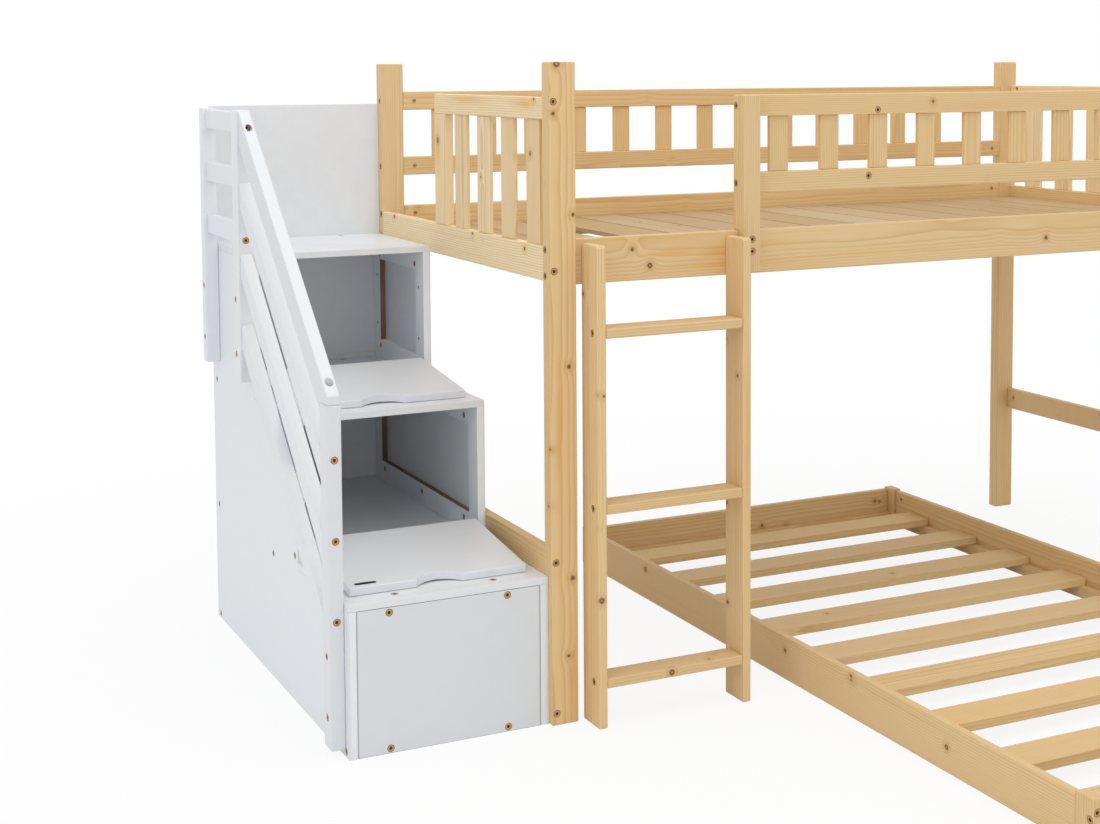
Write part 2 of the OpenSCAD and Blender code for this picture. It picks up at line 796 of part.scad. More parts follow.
module stair_frame_left() {
    color(white) moved() difference() {
        stair_left(skin_t) wall_sheet(frame_t) frame_outline();
        stair_wall_bores();
        mirror_stair() inner_bores();
    }
}
module stair_skin_right() {
    color(white) moved() stair_right(skin_t) wall_sheet(skin_t) stair_side_outline();
}
module stair_frame_right() {
    color(white) moved() difference() {
        stair_right(wall_t) wall_sheet(frame_t) frame_outline();
        inner_bores();
    }
}
module mirror_stair() { translate([-stair_w, 0, 0]) mirror([1, 0, 0]) children(); }

// The closed front, the bottom and the cleats of the first step's box
bay_x = -stair_w + wall_t;
front_bolt_offs = [-129, 124];
front_bolt_drop = 11;
front_bolt_z = 10;
front_bolts = [for (off = front_bolt_offs) for (z = [step_1 - board_t - front_bolt_drop, front_bolt_z])
    [[stair_mid + off, stair_front, z], into_back, front_t - blind / 2]];
board_bolt_off = 106;
board_bolt_in = 33;
board_bolts = [for (spot = [
    [stair_mid - board_bolt_off, stair_front + board_bolt_in, step_1],
    [stair_mid + board_bolt_off, stair_front + board_bolt_in, step_1],
    [stair_mid + board_bolt_off, stair_back_y - strip_d - head_d / 2 - 1, step_2],
    [stair_mid + board_bolt_off, stair_back_y - cleat / 2, landing_z]
]) [spot, into_floor, board_t - blind / 2]];
module stair_front() {
    color(white) moved() difference() {
        box([bay_x, stair_front, 0], [bay_w, front_t, step_1 - board_t]);
        bores(front_bolts);
    }
}
module stair_bottom() {
    color(white) moved() box([bay_x, stair_front + front_t, 0],
        [bay_w, stair_back_y - stair_front - front_t, bottom_t]);
}
module stair_cleats() {
    color(white) moved() {
        box([bay_x, stair_front + front_t, step_1 - board_t - cleat], [bay_w, cleat, cleat]);
        box([bay_x, stair_back_y - cleat, landing_z - board_t - cleat], [bay_w, cleat, cleat]);
        box([bay_x, stair_back_y - strip_d, step_2], [bay_w, strip_d, strip_h]);
    }
}

// A step board is full width on its step and runs back between the walls behind it;
// a well under the lid opens into the box below
function well_start(riser) = riser - hinge_in - lid_reach + notch_d + well_front;
function well_end(riser) = riser - hinge_in - lid_back - batten_d - well_back;
module well(riser, z) {
    box([bay_x + well_rim, well_start(riser), z - board_t - eps],
        [bay_w - 2 * well_rim, well_end(riser) - well_start(riser), board_t + 2 * eps]);
}
module step_board(front, riser, z) {
    difference() {
        union() {
            box([-stair_w, front, z - board_t], [stair_w, riser - front, board_t]);
            box([bay_x, riser - eps, z - board_t], [bay_w, stair_back_y - riser + eps, board_t]);
        }
        well(riser, z);
        bores(board_bolts);
    }
}
module step_board_low() { color(white) moved() step_board(stair_front, riser_1, step_1); }
module step_board_high() { color(white) moved() step_board(riser_1, riser_2, step_2); }
module landing_board() {
    color(white) moved() difference() {
        box([-stair_w, riser_2, landing_z - board_t], [stair_w, stair_back_y - riser_2, board_t]);
        bores(board_bolts);
    }
}
module stair_back() {
    color(white) moved() box([-stair_w, stair_back_y, 0], [stair_w, back_t, back_h]);
}

// The lids rest tilted, their front edges on the steps and their backs on the hinges;
// the finger notch is an arc of the given width and depth
notch_r = (pow(notch_w / 2, 2) + pow(notch_d, 2)) / (2 * notch_d);
module lid_outline() {
    difference() {
        translate([-lid_w / 2, -lid_reach]) square([lid_w, lid_l]);
        translate([0, -lid_reach + notch_d - notch_r]) circle(notch_r, $fn = 180);
    }
}
module lid(axis) {
    translate(axis) rotate([lid_tilt, 0, 0]) translate([lid_shift, 0, lid_under])
        linear_extrude(lid_t) difference() { lid_outline(); children(); }
}
slot_x = slot_side - lid_w / 2;
slot_y = -lid_reach + slot_in;
module slot_outline() {
    translate([slot_x, slot_y]) square([slot_l - slot_w, slot_w]);
    for (x = [slot_x, slot_x + slot_l - slot_w]) translate([x, slot_y + slot_w / 2]) circle(d = slot_w);
}
module lid_low() { color(white) moved() lid(axis_1) slot_outline(); }
module lid_high() { color(white) moved() lid(axis_2); }

// Battens under the lids' rear edges carry the fixed hinge leaves
module lid_battens() {
    color(white) moved() for (a = [axis_1, axis_2])
        box([bay_x + batten_gap, a[1] - lid_back - batten_d, a[2] - hinge_up],
            [bay_w - 2 * batten_gap, batten_d, batten_h]);
}

// A hinge: two outer knuckles on the fixed leaf, one middle knuckle on the lid's leaf;
// a tab joins each knuckle to its leaf
module tube_x(x, len, d_out, d_in) {
    translate([x, 0, 0]) rotate(into_right) difference() {
        cylinder(d = d_out, h = len);
        translate([0, 0, -eps]) cylinder(d = d_in, h = len + 2 * eps);
    }
}
module tab(x, len, dir) {
    difference() {
        box([x, -lid_back, dir > 0 ? 0 : -barrel_r - leaf_t], [len, leaf_t, barrel_r + leaf_t]);
        translate([x - eps, 0, 0]) rotate(into_right)
            cylinder(d = pin_d + 2 * pin_clear, h = len + 2 * eps);
    }
}
module hinge_fixed() {
    for (x = [0, 2 * third]) {
        tube_x(x, third, knuckle_d, pin_d);
        tab(x, third, -1);
    }
    box([0, -lid_back, -barrel_r - leaf_h], [hinge_l, leaf_t, leaf_h - leaf_t]);
}
module hinge_moving() {
    tube_x(third + knuckle_gap, third - 2 * knuckle_gap, knuckle_d, pin_d + 2 * pin_clear);
    tab(third + knuckle_gap, third - 2 * knuckle_gap, 1);
    box([0, -lid_back, barrel_r + leaf_t], [hinge_l, leaf_t, leaf_h - leaf_t]);
}
module at_hinges(a) {
    for (side = [-1, 1]) translate(a + [side * hinge_off - hinge_l / 2, 0, 0]) children();
}
module hinges_fixed() {
    color(zinc) moved() for (a = [axis_1, axis_2]) at_hinges(a) hinge_fixed();
}
module hinges_low() {
    color(zinc) moved() at_hinges(axis_1) rotate([lid_tilt, 0, 0]) hinge_moving();
}
module hinges_high() {
    color(zinc) moved() at_hinges(axis_2) rotate([lid_tilt, 0, 0]) hinge_moving();
}
module hinge_pins() {
    color(zinc) moved() for (a = [axis_1, axis_2]) at_hinges(a)
        rotate(into_right) cylinder(d = pin_d, h = hinge_l);
}

// The railing beside the steps and the guard beside the landing
slat_bolt_drop = 5;
newel_bolts = [for (i = [1 : rail_slats])
    [[rail_mid_x, newel_front, hand_z(newel_back) - i * hand_pitch - slat_bolt_drop],
    into_back, newel_y + bolt_reach]];
landing_rail_tops = [for (i = [0 : 2]) stile_top - landing_drop - i * landing_pitch];
hand_bolt_in = 25;
hand_bolt_drop = 16;
hand_bolt_y = stile_front_y - hand_bolt_in;
hand_bolt = [[rail_mid_x, hand_bolt_y, hand_z(hand_bolt_y) - hand_bolt_drop],
    into_back, hand_bolt_in + stile_y + bolt_reach];
low_bolt_drop = 37;
low_landing_bolt = [[rail_mid_x, stile_front_y, landing_rail_tops[2] - low_bolt_drop],
    into_back, stile_y + bolt_reach];
module newel() {
    color(white) moved() difference() {
        box([-stair_w - newel_x, newel_front, newel_foot], [newel_x, newel_y, newel_top - newel_foot]);
        bores(newel_bolts);
        bores(newel_wall_bolts);
        hand_plug_bore();
    }
}
module landing_stile(y, depth) {
    box([-stair_w - stile_x, y, stile_z], [stile_x, depth, stile_top - stile_z]);
}
module landing_stile_front() {
    color(white) moved() difference() {
        landing_stile(stile_front_y, stile_y);
        bores(stile_bolts);
        bores([hand_bolt, low_landing_bolt]);
    }
}
module landing_stile_back() {
    color(white) moved() difference() {
        landing_stile(stile_back_y, stile_x);
        bores(stile_bolts);
    }
}
module landing_rails() {
    color(white) moved() difference() {
        for (z = landing_rail_tops)
            box([rail_mid_x - landing_rail_t / 2, stile_front_y + stile_y, z - landing_rail_h],
                [landing_rail_t, stile_back_y - stile_front_y - stile_y, landing_rail_h]);
        bores([hand_bolt, low_landing_bolt]);
    }
}

// The handrail is cut plumb at both ends, and its underside is level over the newel
seat_y = newel_front + hand_seat;
plug_y = newel_front + 28;
plug_up = 12;
plug_seat = newel_top + plug_up;
module hand_plug_bore() {
    translate([rail_mid_x, plug_y, newel_top - bolt_reach])
        cylinder(d = shank_d + 2 * bore_clear, h = bolt_reach + 2 * hand_tall);
    translate([rail_mid_x, plug_y, plug_seat]) cylinder(d = head_d + 2, h = 2 * hand_tall);
}
module handrail() {
    color(white) moved() difference() {
        translate([rail_mid_x - hand_x / 2, 0, 0]) wall_sheet(hand_x) polygon([
            [newel_front, hand_z(newel_front)], [stile_front_y, hand_head],
            [stile_front_y, hand_head - hand_tall], [seat_y, newel_top], [newel_front, newel_top]
        ]);
        bores([hand_bolt]);
        at(hand_bolt[0], hand_bolt[1]) translate([0, 0, -hand_d])
            cylinder(d = head_d + 2 * bore_clear, h = hand_d);
        hand_plug_bore();
    }
}
module railing_slats() {
    color(white) moved() difference() {
        for (i = [1 : rail_slats]) translate([rail_mid_x - hand_x / 2, 0, -i * hand_pitch])
            wall_sheet(hand_x) polygon([
                [newel_back, hand_z(newel_back)], [stile_front_y, hand_head],
                [stile_front_y, hand_head - slat_tall], [newel_back, hand_z(newel_back) - slat_tall]
            ]);
        bores(newel_bolts);
    }
}

// Fasteners
module bed_bolts() {
    color(zinc) moved() {
        for (right = [false, true]) for (back = [false, true]) corner(right, back) {
            bolts(long_bolts(corner_long(right, back)));
            bolts(cross_bolts(corner_cross(right, back)));
            bolts([foot_bolt]);
        }
        bolts(entry_face_bolts);
        bolts(entry_side_bolts);
        bolts(guard_face_bolts);
        low_corners() bolts([low_end_bolt, low_side_bolt]);
    }
}
module barrel_nuts() {
    color(zinc) moved() {
        for (right = [false, true]) for (back = [false, true]) corner(right, back) {
            long_nuts(corner_long(right, back)) nut(rail_t);
            cross_nuts(corner_cross(right, back)) nut(rail_t);
        }
        low_corners() low_nuts() nut(low_rail_t);
    }
}
module ladder_bolts() {
    color(zinc) moved() {
        bolts(ladder_bolts_left);
        ladder_mirrored() bolts(ladder_bolts_left);
    }
}
module stair_bolts() {
    color(zinc) moved() {
        bolts(wall_bolts);
        bolts(front_bolts);
        bolts(board_bolts);
        bolts(inner_bolts);
        mirror_stair() bolts(inner_bolts);
        bolts(stile_bolts);
        bolts(newel_wall_bolts);
        bolts(newel_bolts);
        bolts([hand_bolt, low_landing_bolt]);
        at([rail_mid_x, plug_y, plug_seat + head_h + head_sink], into_floor)
            bolt(plug_up + head_h + bolt_reach - blind);
    }
}
module stair_screws() {
    color(zinc) moved() {
        screws(inner_screws);
        mirror_stair() screws(inner_screws);
    }
}

post_front_left();
post_back_left();
post_front_right();
post_back_right();
side_rail_front();
side_rail_back();
end_rail_left();
end_rail_right();
stretcher_left();
stretcher_right();
deck_ledgers();
deck_slats();
guard_rails_back();
guard_balusters_back();
entry_stile();
guard_rails_front();
guard_balusters_front();
end_guard_rails();
end_stile();
end_balusters();
ladder_stile_left();
ladder_stile_right();
ladder_treads();
low_side_rail_left();
low_side_rail_right();
low_end_rails();
low_posts();
low_ledgers();
low_slats();
stair_skin_left();
stair_skin_right();
stair_frame_left();
stair_frame_right();
stair_front();
stair_bottom();
step_board_low();
step_board_high();
landing_board();
stair_back();
stair_cleats();
lid_battens();
lid_low();
lid_high();
hinges_fixed();
hinges_low();
hinges_high();
hinge_pins();
newel();
landing_stile_front();
landing_stile_back();
landing_rails();
handrail();
railing_slats();
bed_bolts();
barrel_nuts();
ladder_bolts();
stair_bolts();
stair_screws();
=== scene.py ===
"""Dresses a twin bunk bed: knotty pine loft bed, ladder and low bed, a white painted
storage staircase with two step lids, yellow-zinc fasteners and a plain pale stage."""

import json
import math
import zlib

import bmesh
import bpy
import numpy as np
from bpy.props import FloatProperty, FloatVectorProperty, IntProperty, PointerProperty
from mathutils import Matrix, Vector

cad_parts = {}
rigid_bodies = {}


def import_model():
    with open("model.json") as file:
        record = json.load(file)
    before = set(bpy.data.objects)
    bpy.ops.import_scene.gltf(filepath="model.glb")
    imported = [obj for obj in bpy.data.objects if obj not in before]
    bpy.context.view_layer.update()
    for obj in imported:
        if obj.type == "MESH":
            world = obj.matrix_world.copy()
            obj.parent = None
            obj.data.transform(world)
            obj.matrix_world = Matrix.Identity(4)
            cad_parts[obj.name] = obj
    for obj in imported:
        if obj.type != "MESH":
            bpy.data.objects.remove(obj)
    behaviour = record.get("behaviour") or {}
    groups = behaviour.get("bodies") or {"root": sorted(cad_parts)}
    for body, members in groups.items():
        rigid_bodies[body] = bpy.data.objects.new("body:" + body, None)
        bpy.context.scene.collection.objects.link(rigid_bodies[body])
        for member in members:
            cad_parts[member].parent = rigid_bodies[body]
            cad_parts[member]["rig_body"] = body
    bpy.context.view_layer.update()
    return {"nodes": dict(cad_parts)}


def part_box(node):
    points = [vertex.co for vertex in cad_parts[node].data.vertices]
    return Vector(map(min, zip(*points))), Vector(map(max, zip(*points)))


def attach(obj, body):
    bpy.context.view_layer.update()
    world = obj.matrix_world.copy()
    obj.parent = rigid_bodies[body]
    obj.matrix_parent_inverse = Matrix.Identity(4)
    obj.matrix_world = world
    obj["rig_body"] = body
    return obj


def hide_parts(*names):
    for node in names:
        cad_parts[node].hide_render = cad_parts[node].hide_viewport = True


bl_info = {
    "name": "Bunk Bed With Storage Staircase",
    "version": (1, 0, 0),
    "blender": (4, 5, 0),
    "location": "View3D > Sidebar > Bunk Bed",
    "description": "Dresses a pine bunk bed with a white storage staircase",
    "category": "Object",
}

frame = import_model()
MM = 0.001
# The loft bed's front left floor corner: places below are measured from it, in millimetres
BED = Vector(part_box("post_front_left")[0])


def colour_property(name, description, default):
    """A linear colour for a settings group."""
    return FloatVectorProperty(name=name, description=description, default=default,
                               subtype="COLOR", size=3, min=0.0, max=1.0)


def length_property(name, description, default):
    """A length in metres for a settings group."""
    return FloatProperty(name=name, description=description, default=default,
                         min=0.0, unit="LENGTH", subtype="DISTANCE", precision=5)


class PineSettings(bpy.types.PropertyGroup):
    """Looks of the bed's pine."""
    early: colour_property("Earlywood", "Pale wood between the ring lines", (0.83, 0.615, 0.345))
    pale: colour_property("Pale earlywood", "The same wood in the palest boards", (0.91, 0.77, 0.53))
    late: colour_property("Latewood", "Wood of the ring lines", (0.58, 0.34, 0.125))
    amber: colour_property("Amber streaks", "Resinous orange stretches", (0.77, 0.44, 0.14))
    knot: colour_property("Knots", "Heart of a knot", (0.14, 0.052, 0.012))
    ring: length_property("Ring width", "Width of one yearly ring", 0.0042)
    ease: length_property("Eased edges", "Radius of the sanded edges", 0.0026)
    roughness: FloatProperty(name="Roughness", description="Roughness of the satin lacquer",
                             default=0.46, min=0.0, max=1.0, subtype="FACTOR")


class PaintSettings(bpy.types.PropertyGroup):
    """Looks of the staircase's painted boards."""
    paint: colour_property("Paint", "Cool white paint", (0.82, 0.845, 0.878))
    board: colour_property("Bare board", "Brown board where the paint stops", (0.20, 0.135, 0.085))
    ease: length_property("Eased edges", "Radius of the boards' edges", 0.0011)
    rail_ease: length_property("Eased rails", "Radius of the railing's edges", 0.0026)
    roughness: FloatProperty(name="Roughness", description="Roughness of the satin paint",
                             default=0.36, min=0.0, max=1.0, subtype="FACTOR")


class HardwareSettings(bpy.types.PropertyGroup):
    """Looks of bolts, nuts, screws and hinges."""
    copper: colour_property("Copper tint", "Reddish side of the passivated zinc", (0.54, 0.26, 0.11))
    olive: colour_property("Olive tint", "Greenish side of the passivated zinc", (0.32, 0.25, 0.085))
    steel: colour_property("Hinge steel", "Bright zinc of the hinges", (0.60, 0.60, 0.58))
    segments: IntProperty(name="Segments", description="Segments round a bolt head",
                          default=24, min=12, max=48)


class StageSettings(bpy.types.PropertyGroup):
    """Camera and light. The camera stands where the bed was photographed."""
    camera: FloatVectorProperty(name="Camera place", description="Camera, from the bed's corner",
                                default=(-1.4619, -3.2221, 1.3523), size=3, subtype="TRANSLATION")
    turn: FloatProperty(name="Turn", description="Turn to the right of the bed's depth",
                        default=math.radians(26.435), subtype="ANGLE")
    dip: FloatProperty(name="Dip", description="How far the camera looks down",
                       default=math.radians(3.942), subtype="ANGLE")
    roll: FloatProperty(name="Roll", description="Roll of the camera",
                        default=math.radians(-0.249), subtype="ANGLE")
    lens: FloatProperty(name="Lens", description="Focal length on a 36 mm wide sensor, in mm",
                        default=57.51, unit="CAMERA")
    shift: FloatVectorProperty(name="Shift", description="Sideways and upward shift of the view",
                               default=(-0.0556, -0.2023), size=2)
    floor: colour_property("Floor", "Pale floor", (0.86, 0.86, 0.86))
    shadow: FloatProperty(name="Shadow", description="Share of the floor's own shading that shows",
                          default=0.12, min=0.0, max=1.0, subtype="FACTOR")
    sky: FloatProperty(name="Room light", description="Light from all sides", default=0.80)
    key: FloatProperty(name="Key light", description="Power of the lamp at the left, in W",
                       default=20.0, unit="POWER")
    top: FloatProperty(name="Top light", description="Power of the lamp above, in W",
                       default=57.0, unit="POWER")
    fill: FloatProperty(name="Fill light", description="Power of the lamp in front, in W",
                        default=3.0, unit="POWER")


def by_the_bed(x, y, z):
    """A place given in millimetres from the loft bed's corner, in the frame's metres."""
    return BED + Vector((x, y, z)) * MM


class Value:
    """A socket in a material. Arithmetic on it adds Math nodes."""

    def __init__(self, sheet, socket):
        self.sheet = sheet
        self.socket = socket

    def math(self, operation, *values):
        return self.sheet.add("ShaderNodeMath", {"operation": operation}, dict(enumerate(values)))

    def __add__(self, other):
        return self.math("ADD", self, other)

    __radd__ = __add__

    def __sub__(self, other):
        return self.math("SUBTRACT", self, other)

    def __rsub__(self, other):
        return self.math("SUBTRACT", other, self)

    def __mul__(self, other):
        return self.math("MULTIPLY", self, other)

    __rmul__ = __mul__

    def __truediv__(self, other):
        return self.math("DIVIDE", self, other)

    def __rtruediv__(self, other):
        return self.math("DIVIDE", other, self)

    def __pow__(self, other):
        return self.math("POWER", self, other)

    def least(self, other):
        return self.math("MINIMUM", self, other)

    def most(self, other):
        return self.math("MAXIMUM", self, other)

    def part(self):
        return self.math("FRACT", self)

    def exponential(self):
        return self.math("EXPONENT", self)

    def fade(self, full, none):
        """1 where the value is at full, 0 at none, smooth between."""
        return self.sheet.add("ShaderNodeMapRange", {"interpolation_type": "SMOOTHSTEP"},
                              {"Value": self, "From Min": none, "From Max": full})


class Sheet:
    """A material, or the world, being written."""

    def __init__(self, owner):
        self.owner = bpy.data.materials.new(owner) if isinstance(owner, str) else owner
        self.owner.use_nodes = True
        self.tree = self.owner.node_tree
        self.tree.nodes.clear()

    def add(self, kind, settings=None, inputs=None, output=0):
        """Makes a node: its settings first, then its sockets' values or links."""
        node = self.tree.nodes.new(kind)
        for key, value in (settings or {}).items():
            setattr(node, key, value)
        for key, value in (inputs or {}).items():
            if isinstance(value, Value):
                self.tree.links.new(value.socket, node.inputs[key])
            else:
                node.inputs[key].default_value = value
        return Value(self, node.outputs[output] if len(node.outputs) else None)

    def attribute(self, name, output="Vector"):
        return self.add("ShaderNodeAttribute", {"attribute_name": name}, output=output)

    def place(self):
        return self.add("ShaderNodeTexCoord", output="Object")

    def split(self, vector):
        node = self.add("ShaderNodeSeparateXYZ", inputs={0: vector}).socket.node
        return [Value(self, socket) for socket in node.outputs]

    def join(self, x, y, z):
        return self.add("ShaderNodeCombineXYZ", inputs={0: x, 1: y, 2: z})

    def edge_distance(self):
        """How far inside a board's nearest long edge a point lies: the middle one of its three
        insets, since the least is 0 on every face."""
        x, y, z = self.split(self.attribute("inset"))
        return x.most(y).least(x.least(y).most(z))

    def noise(self, vector, scale=1.0, detail=2.0, rough=0.5):
        return self.add("ShaderNodeTexNoise", inputs={
            "Vector": vector, "Scale": scale, "Detail": detail, "Roughness": rough})

    def mix(self, share, first, second, blend="MIX"):
        """Colour between first and second; both are colours or sockets."""
        first, second = (end if isinstance(end, Value) else (*end, 1.0) for end in (first, second))
        return self.add("ShaderNodeMix", {"data_type": "RGBA", "blend_type": blend,
                                          "clamp_factor": True},
                        {0: share, 6: first, 7: second}, output=2)

    def vector(self, operation, first, second=(0.0, 0.0, 0.0)):
        """Vector arithmetic; a length or a distance comes out as a number."""
        number = operation in ("LENGTH", "DISTANCE")
        return self.add("ShaderNodeVectorMath", {"operation": operation}, {0: first, 1: second},
                        output="Value" if number else "Vector")

    def finish(self, base, roughness, height, relief, strength, **constants):
        """Closes the material with one Principled shader; height drives its Bump node."""
        bump = self.add("ShaderNodeBump", inputs={
            "Strength": strength, "Distance": relief, "Height": height})
        shader = self.add("ShaderNodeBsdfPrincipled", inputs={
            "Base Color": base, "Roughness": roughness, "Normal": bump, **constants})
        self.add("ShaderNodeOutputMaterial", inputs={"Surface": shader})
        return self.owner


# Larger knots of the boards in view: place from the bed's corner and radius, in millimetres
POST_KNOTS = [(18, 0, 1362, 8), (10, 0, 1262, 4), (42, 0, 745, 4.5), (48, 0, 305, 5),
              (38, 0, 143, 3.5), (0, 4, 577, 3), (0, 12, 458, 2.5), (53, 0, 1056, 4)]
RAIL_KNOTS = [(195, 13, 977, 4), (236, 13, 941, 6.5), (0, 935, 986, 5), (0, 415, 986, 3.5),
              (0, 125, 978, 4), (1290, 13, 950, 5), (880, 1038, 970, 4)]
GUARD_KNOTS = [(0, 626, 1187, 7), (5.5, 105, 1177, 5), (0, 73, 1290, 3), (5.5, 377, 1114, 2.5),
               (308, 1037, 1202, 4), (960, 13, 1275, 3.5), (760, 1038, 1270, 4)]
DECK_KNOTS = [(541, 905, 957, 4), (649, 640, 957, 6), (614, 787, 957, 3), (900, 300, 957, 6)]
LADDER_KNOTS = [(77, 5, 892, 4.5), (91, -62, 690, 2.5), (76, -62, 692, 2), (84, -62, 269, 7),
                (71, -62, 418, 2), (418, -38, 701, 3.5), (418, 11, 773, 3), (418, 5, 419, 4),
                (418, 3, 202, 5), (246, -62, 94, 7), (341, -50, 104, 3), (438, -20, 320, 4)]
LOW_KNOTS = [(575, 688, 76, 7), (575, 20, 66, 5), (575, -237, 88, 4), (1138, 1042, 39, 5),
             (1216, 1042, 24, 5), (1529, 1042, 65, 5), (1166, 445, 50, 4), (830, 240, 50, 3),
             (575, -560, 50, 6), (1601, 300, 60, 6)]
# Amber stretches: place, then how far the colour reaches each way, in millimetres
RAIL_FLAMES = [(296, 13, 966, 60, 20, 9), (393, 13, 962, 50, 20, 14), (420, 13, 935, 130, 20, 8)]
GUARD_FLAMES = [(0, 440, 1284, 20, 90, 9), (0, 120, 1280, 20, 60, 12), (0, 626, 1170, 20, 12, 50)]
LADDER_FLAMES = [(438, -30, 880, 20, 20, 130), (430, -62, 560, 5, 20, 160)]
POST_FLAMES = [(46, 0, 105, 8, 20, 70), (20, 0, 640, 7, 20, 120)]

# Colours that are the same whatever the settings say
# Painted shade in the gaps between boards that lie side by side
PAINTED_SEAM_SHADE = (0.15, 0.08, 0.035)
EDGE_GREY = (0.50, 0.50, 0.50)
# Painted shade in the joint round a let-in board
PAINTED_JOINT_SHADE = (0.10, 0.10, 0.11)
# Painted shade, near black, inside the lid's slot
PAINTED_SLOT_SHADE = (0.045, 0.045, 0.05)
# Painted highlight on the ring of a bolt head
PAINTED_RING_HIGHLIGHT = (0.80, 0.56, 0.32)
DARKER_RIM = (0.15, 0.07, 0.03)
# Painted shade inside a bolt head's socket
PAINTED_SOCKET_SHADE = (0.10, 0.055, 0.025)
BLACKENED = (0.05, 0.05, 0.035)
DULL_STEEL = (0.40, 0.39, 0.36)
FLOOR_MOTTLE = (0.8, 0.8, 0.8)


def darker(colour, share):
    """A colour times a number."""
    return [channel * share for channel in colour]


def pine(name, look, knots=(), flames=(), seam_shade=0.0, figure=1.0):
    """Pine sawn from a log. The pith runs beside the board, along its grain. The ring number
    is the distance from the pith over the ring width, bent by slow noise and pushed out
    round each knot; each ring darkens slowly outwards and stops short at the next one.
    Small knots are spheres scattered through the wood, darkest in a rim round the heart.
    Where boards lie side by side, painted shade darkens the wood towards its edges, as much as the
    given seam share says, for the shade in the gaps between them; figure is how strongly the rings
    show."""
    sheet = Sheet(name)
    along, wide, thick = sheet.split(sheet.attribute("grain"))
    tone, warm, coarse = sheet.split(sheet.attribute("board"))
    place = sheet.place()

    def drawn(length, width, **more):
        """Noise that is drawn out along the grain: its steps per metre along and across."""
        return sheet.noise(sheet.join(along * length, wide * width, thick * width), **more)

    # How far outside the nearest knot a point lies, in metres
    cells, knot_radius, thinning = 6.5, 0.0062, 0.0015
    scatter = sheet.join(along * 0.7, wide, thick)
    cell = sheet.add("ShaderNodeTexVoronoi", {"feature": "F1"}, {"Vector": scatter, "Scale": cells},
                     output="Distance")
    chance = sheet.split(Value(sheet, cell.socket.node.outputs["Color"]))
    near = cell / cells - knot_radius * chance[0] ** 2.0 + thinning
    for x, y, z, radius in knots:
        near = near.least(sheet.vector("DISTANCE", place, by_the_bed(x, y, z)) - radius * MM * 0.8)
    ragged = drawn(260.0, 400.0) - 0.5
    near = near + ragged * 0.0016
    swell = (near.most(0.0) * -90.0).exponential()

    # The ring that a point lies in, and how far its latewood has come
    sweep = drawn(1.3, 7.0, detail=3.0) - 0.5
    ripple = drawn(7.0, 45.0, detail=1.0) - 0.5
    from_pith = (wide * wide + thick * thick) ** 0.5
    bent = from_pith + sweep * 0.016 + ripple * 0.0008 + swell * 0.006
    rings = bent / (look.ring * (0.7 + coarse * 0.9))
    season = rings.part()
    late = season ** 2.6 * (1.0 - season.fade(1.0, 0.93))
    patch = drawn(0.9, 18.0, detail=1.0)
    strength = (0.28 + 0.54 * patch) * figure

    # Fibres, and the amber of resinous streaks and stretches
    fibre = drawn(16.0, 1500.0, detail=3.0, rough=0.62)
    streak = drawn(1.1, 70.0, detail=3.0, rough=0.6)
    cloud = drawn(2.2, 16.0)
    amber = (streak.fade(0.78, 0.56) * 0.55 + cloud.fade(0.85, 0.55) * 0.5) * (0.25 + warm * 0.75)
    for x, y, z, *reach in flames:
        offset = sheet.vector("SUBTRACT", place, by_the_bed(x, y, z))
        spread = sheet.vector("LENGTH", sheet.vector("DIVIDE", offset, Vector(reach) * MM))
        flame = (0.0 - spread * spread).exponential()
        amber = amber.most(flame * (0.6 + late * 0.5))

    # A knot's parts, by the distance from its surface
    halo = near.fade(0.0, 0.016)
    core = near.fade(-0.0009, 0.0007)
    rim = near.fade(0.0002, 0.0022) * (1.0 - core)
    heart = near.fade(-0.0046, -0.0018)

    # The colours, laid over each other from the wood to the knots
    spring = sheet.mix(tone.fade(1.0, 0.55), look.early, look.pale)
    wood = sheet.mix(late * strength, spring, look.late)
    wood = sheet.mix(amber.least(0.85), wood, look.amber)
    wood = sheet.mix(halo * 0.42, wood, look.late)
    wood = sheet.mix((fibre - 0.38) * 0.55, wood, darker(look.late, 0.80))
    bright = 0.95 + tone * 0.11
    cast = sheet.join(bright, bright * (0.965 + warm * 0.04), bright * (0.86 + warm * 0.14))
    wood = sheet.mix(1.0, wood, cast, blend="MULTIPLY")
    wood = sheet.mix(rim * 0.7, wood, darker(look.late, 0.45))
    wood = sheet.mix(core * 0.9, wood, look.knot)
    wood = sheet.mix(heart * 0.6, wood, look.amber)
    # Painted shade: the wood darkens towards its edges, for the shade in the gaps between side by side
    # boards
    if seam_shade:
        wood = sheet.mix(sheet.edge_distance().fade(0.0005, 0.0032) * seam_shade, wood, PAINTED_SEAM_SHADE)

    height = fibre * 0.5 + late * 0.7 - core * 0.8
    rough = look.roughness + fibre * 0.10 + late * 0.05 - core * 0.08
    return sheet.finish(wood, rough, height, relief=0.00022, strength=0.45,
                        **{"Specular IOR Level": 0.2})


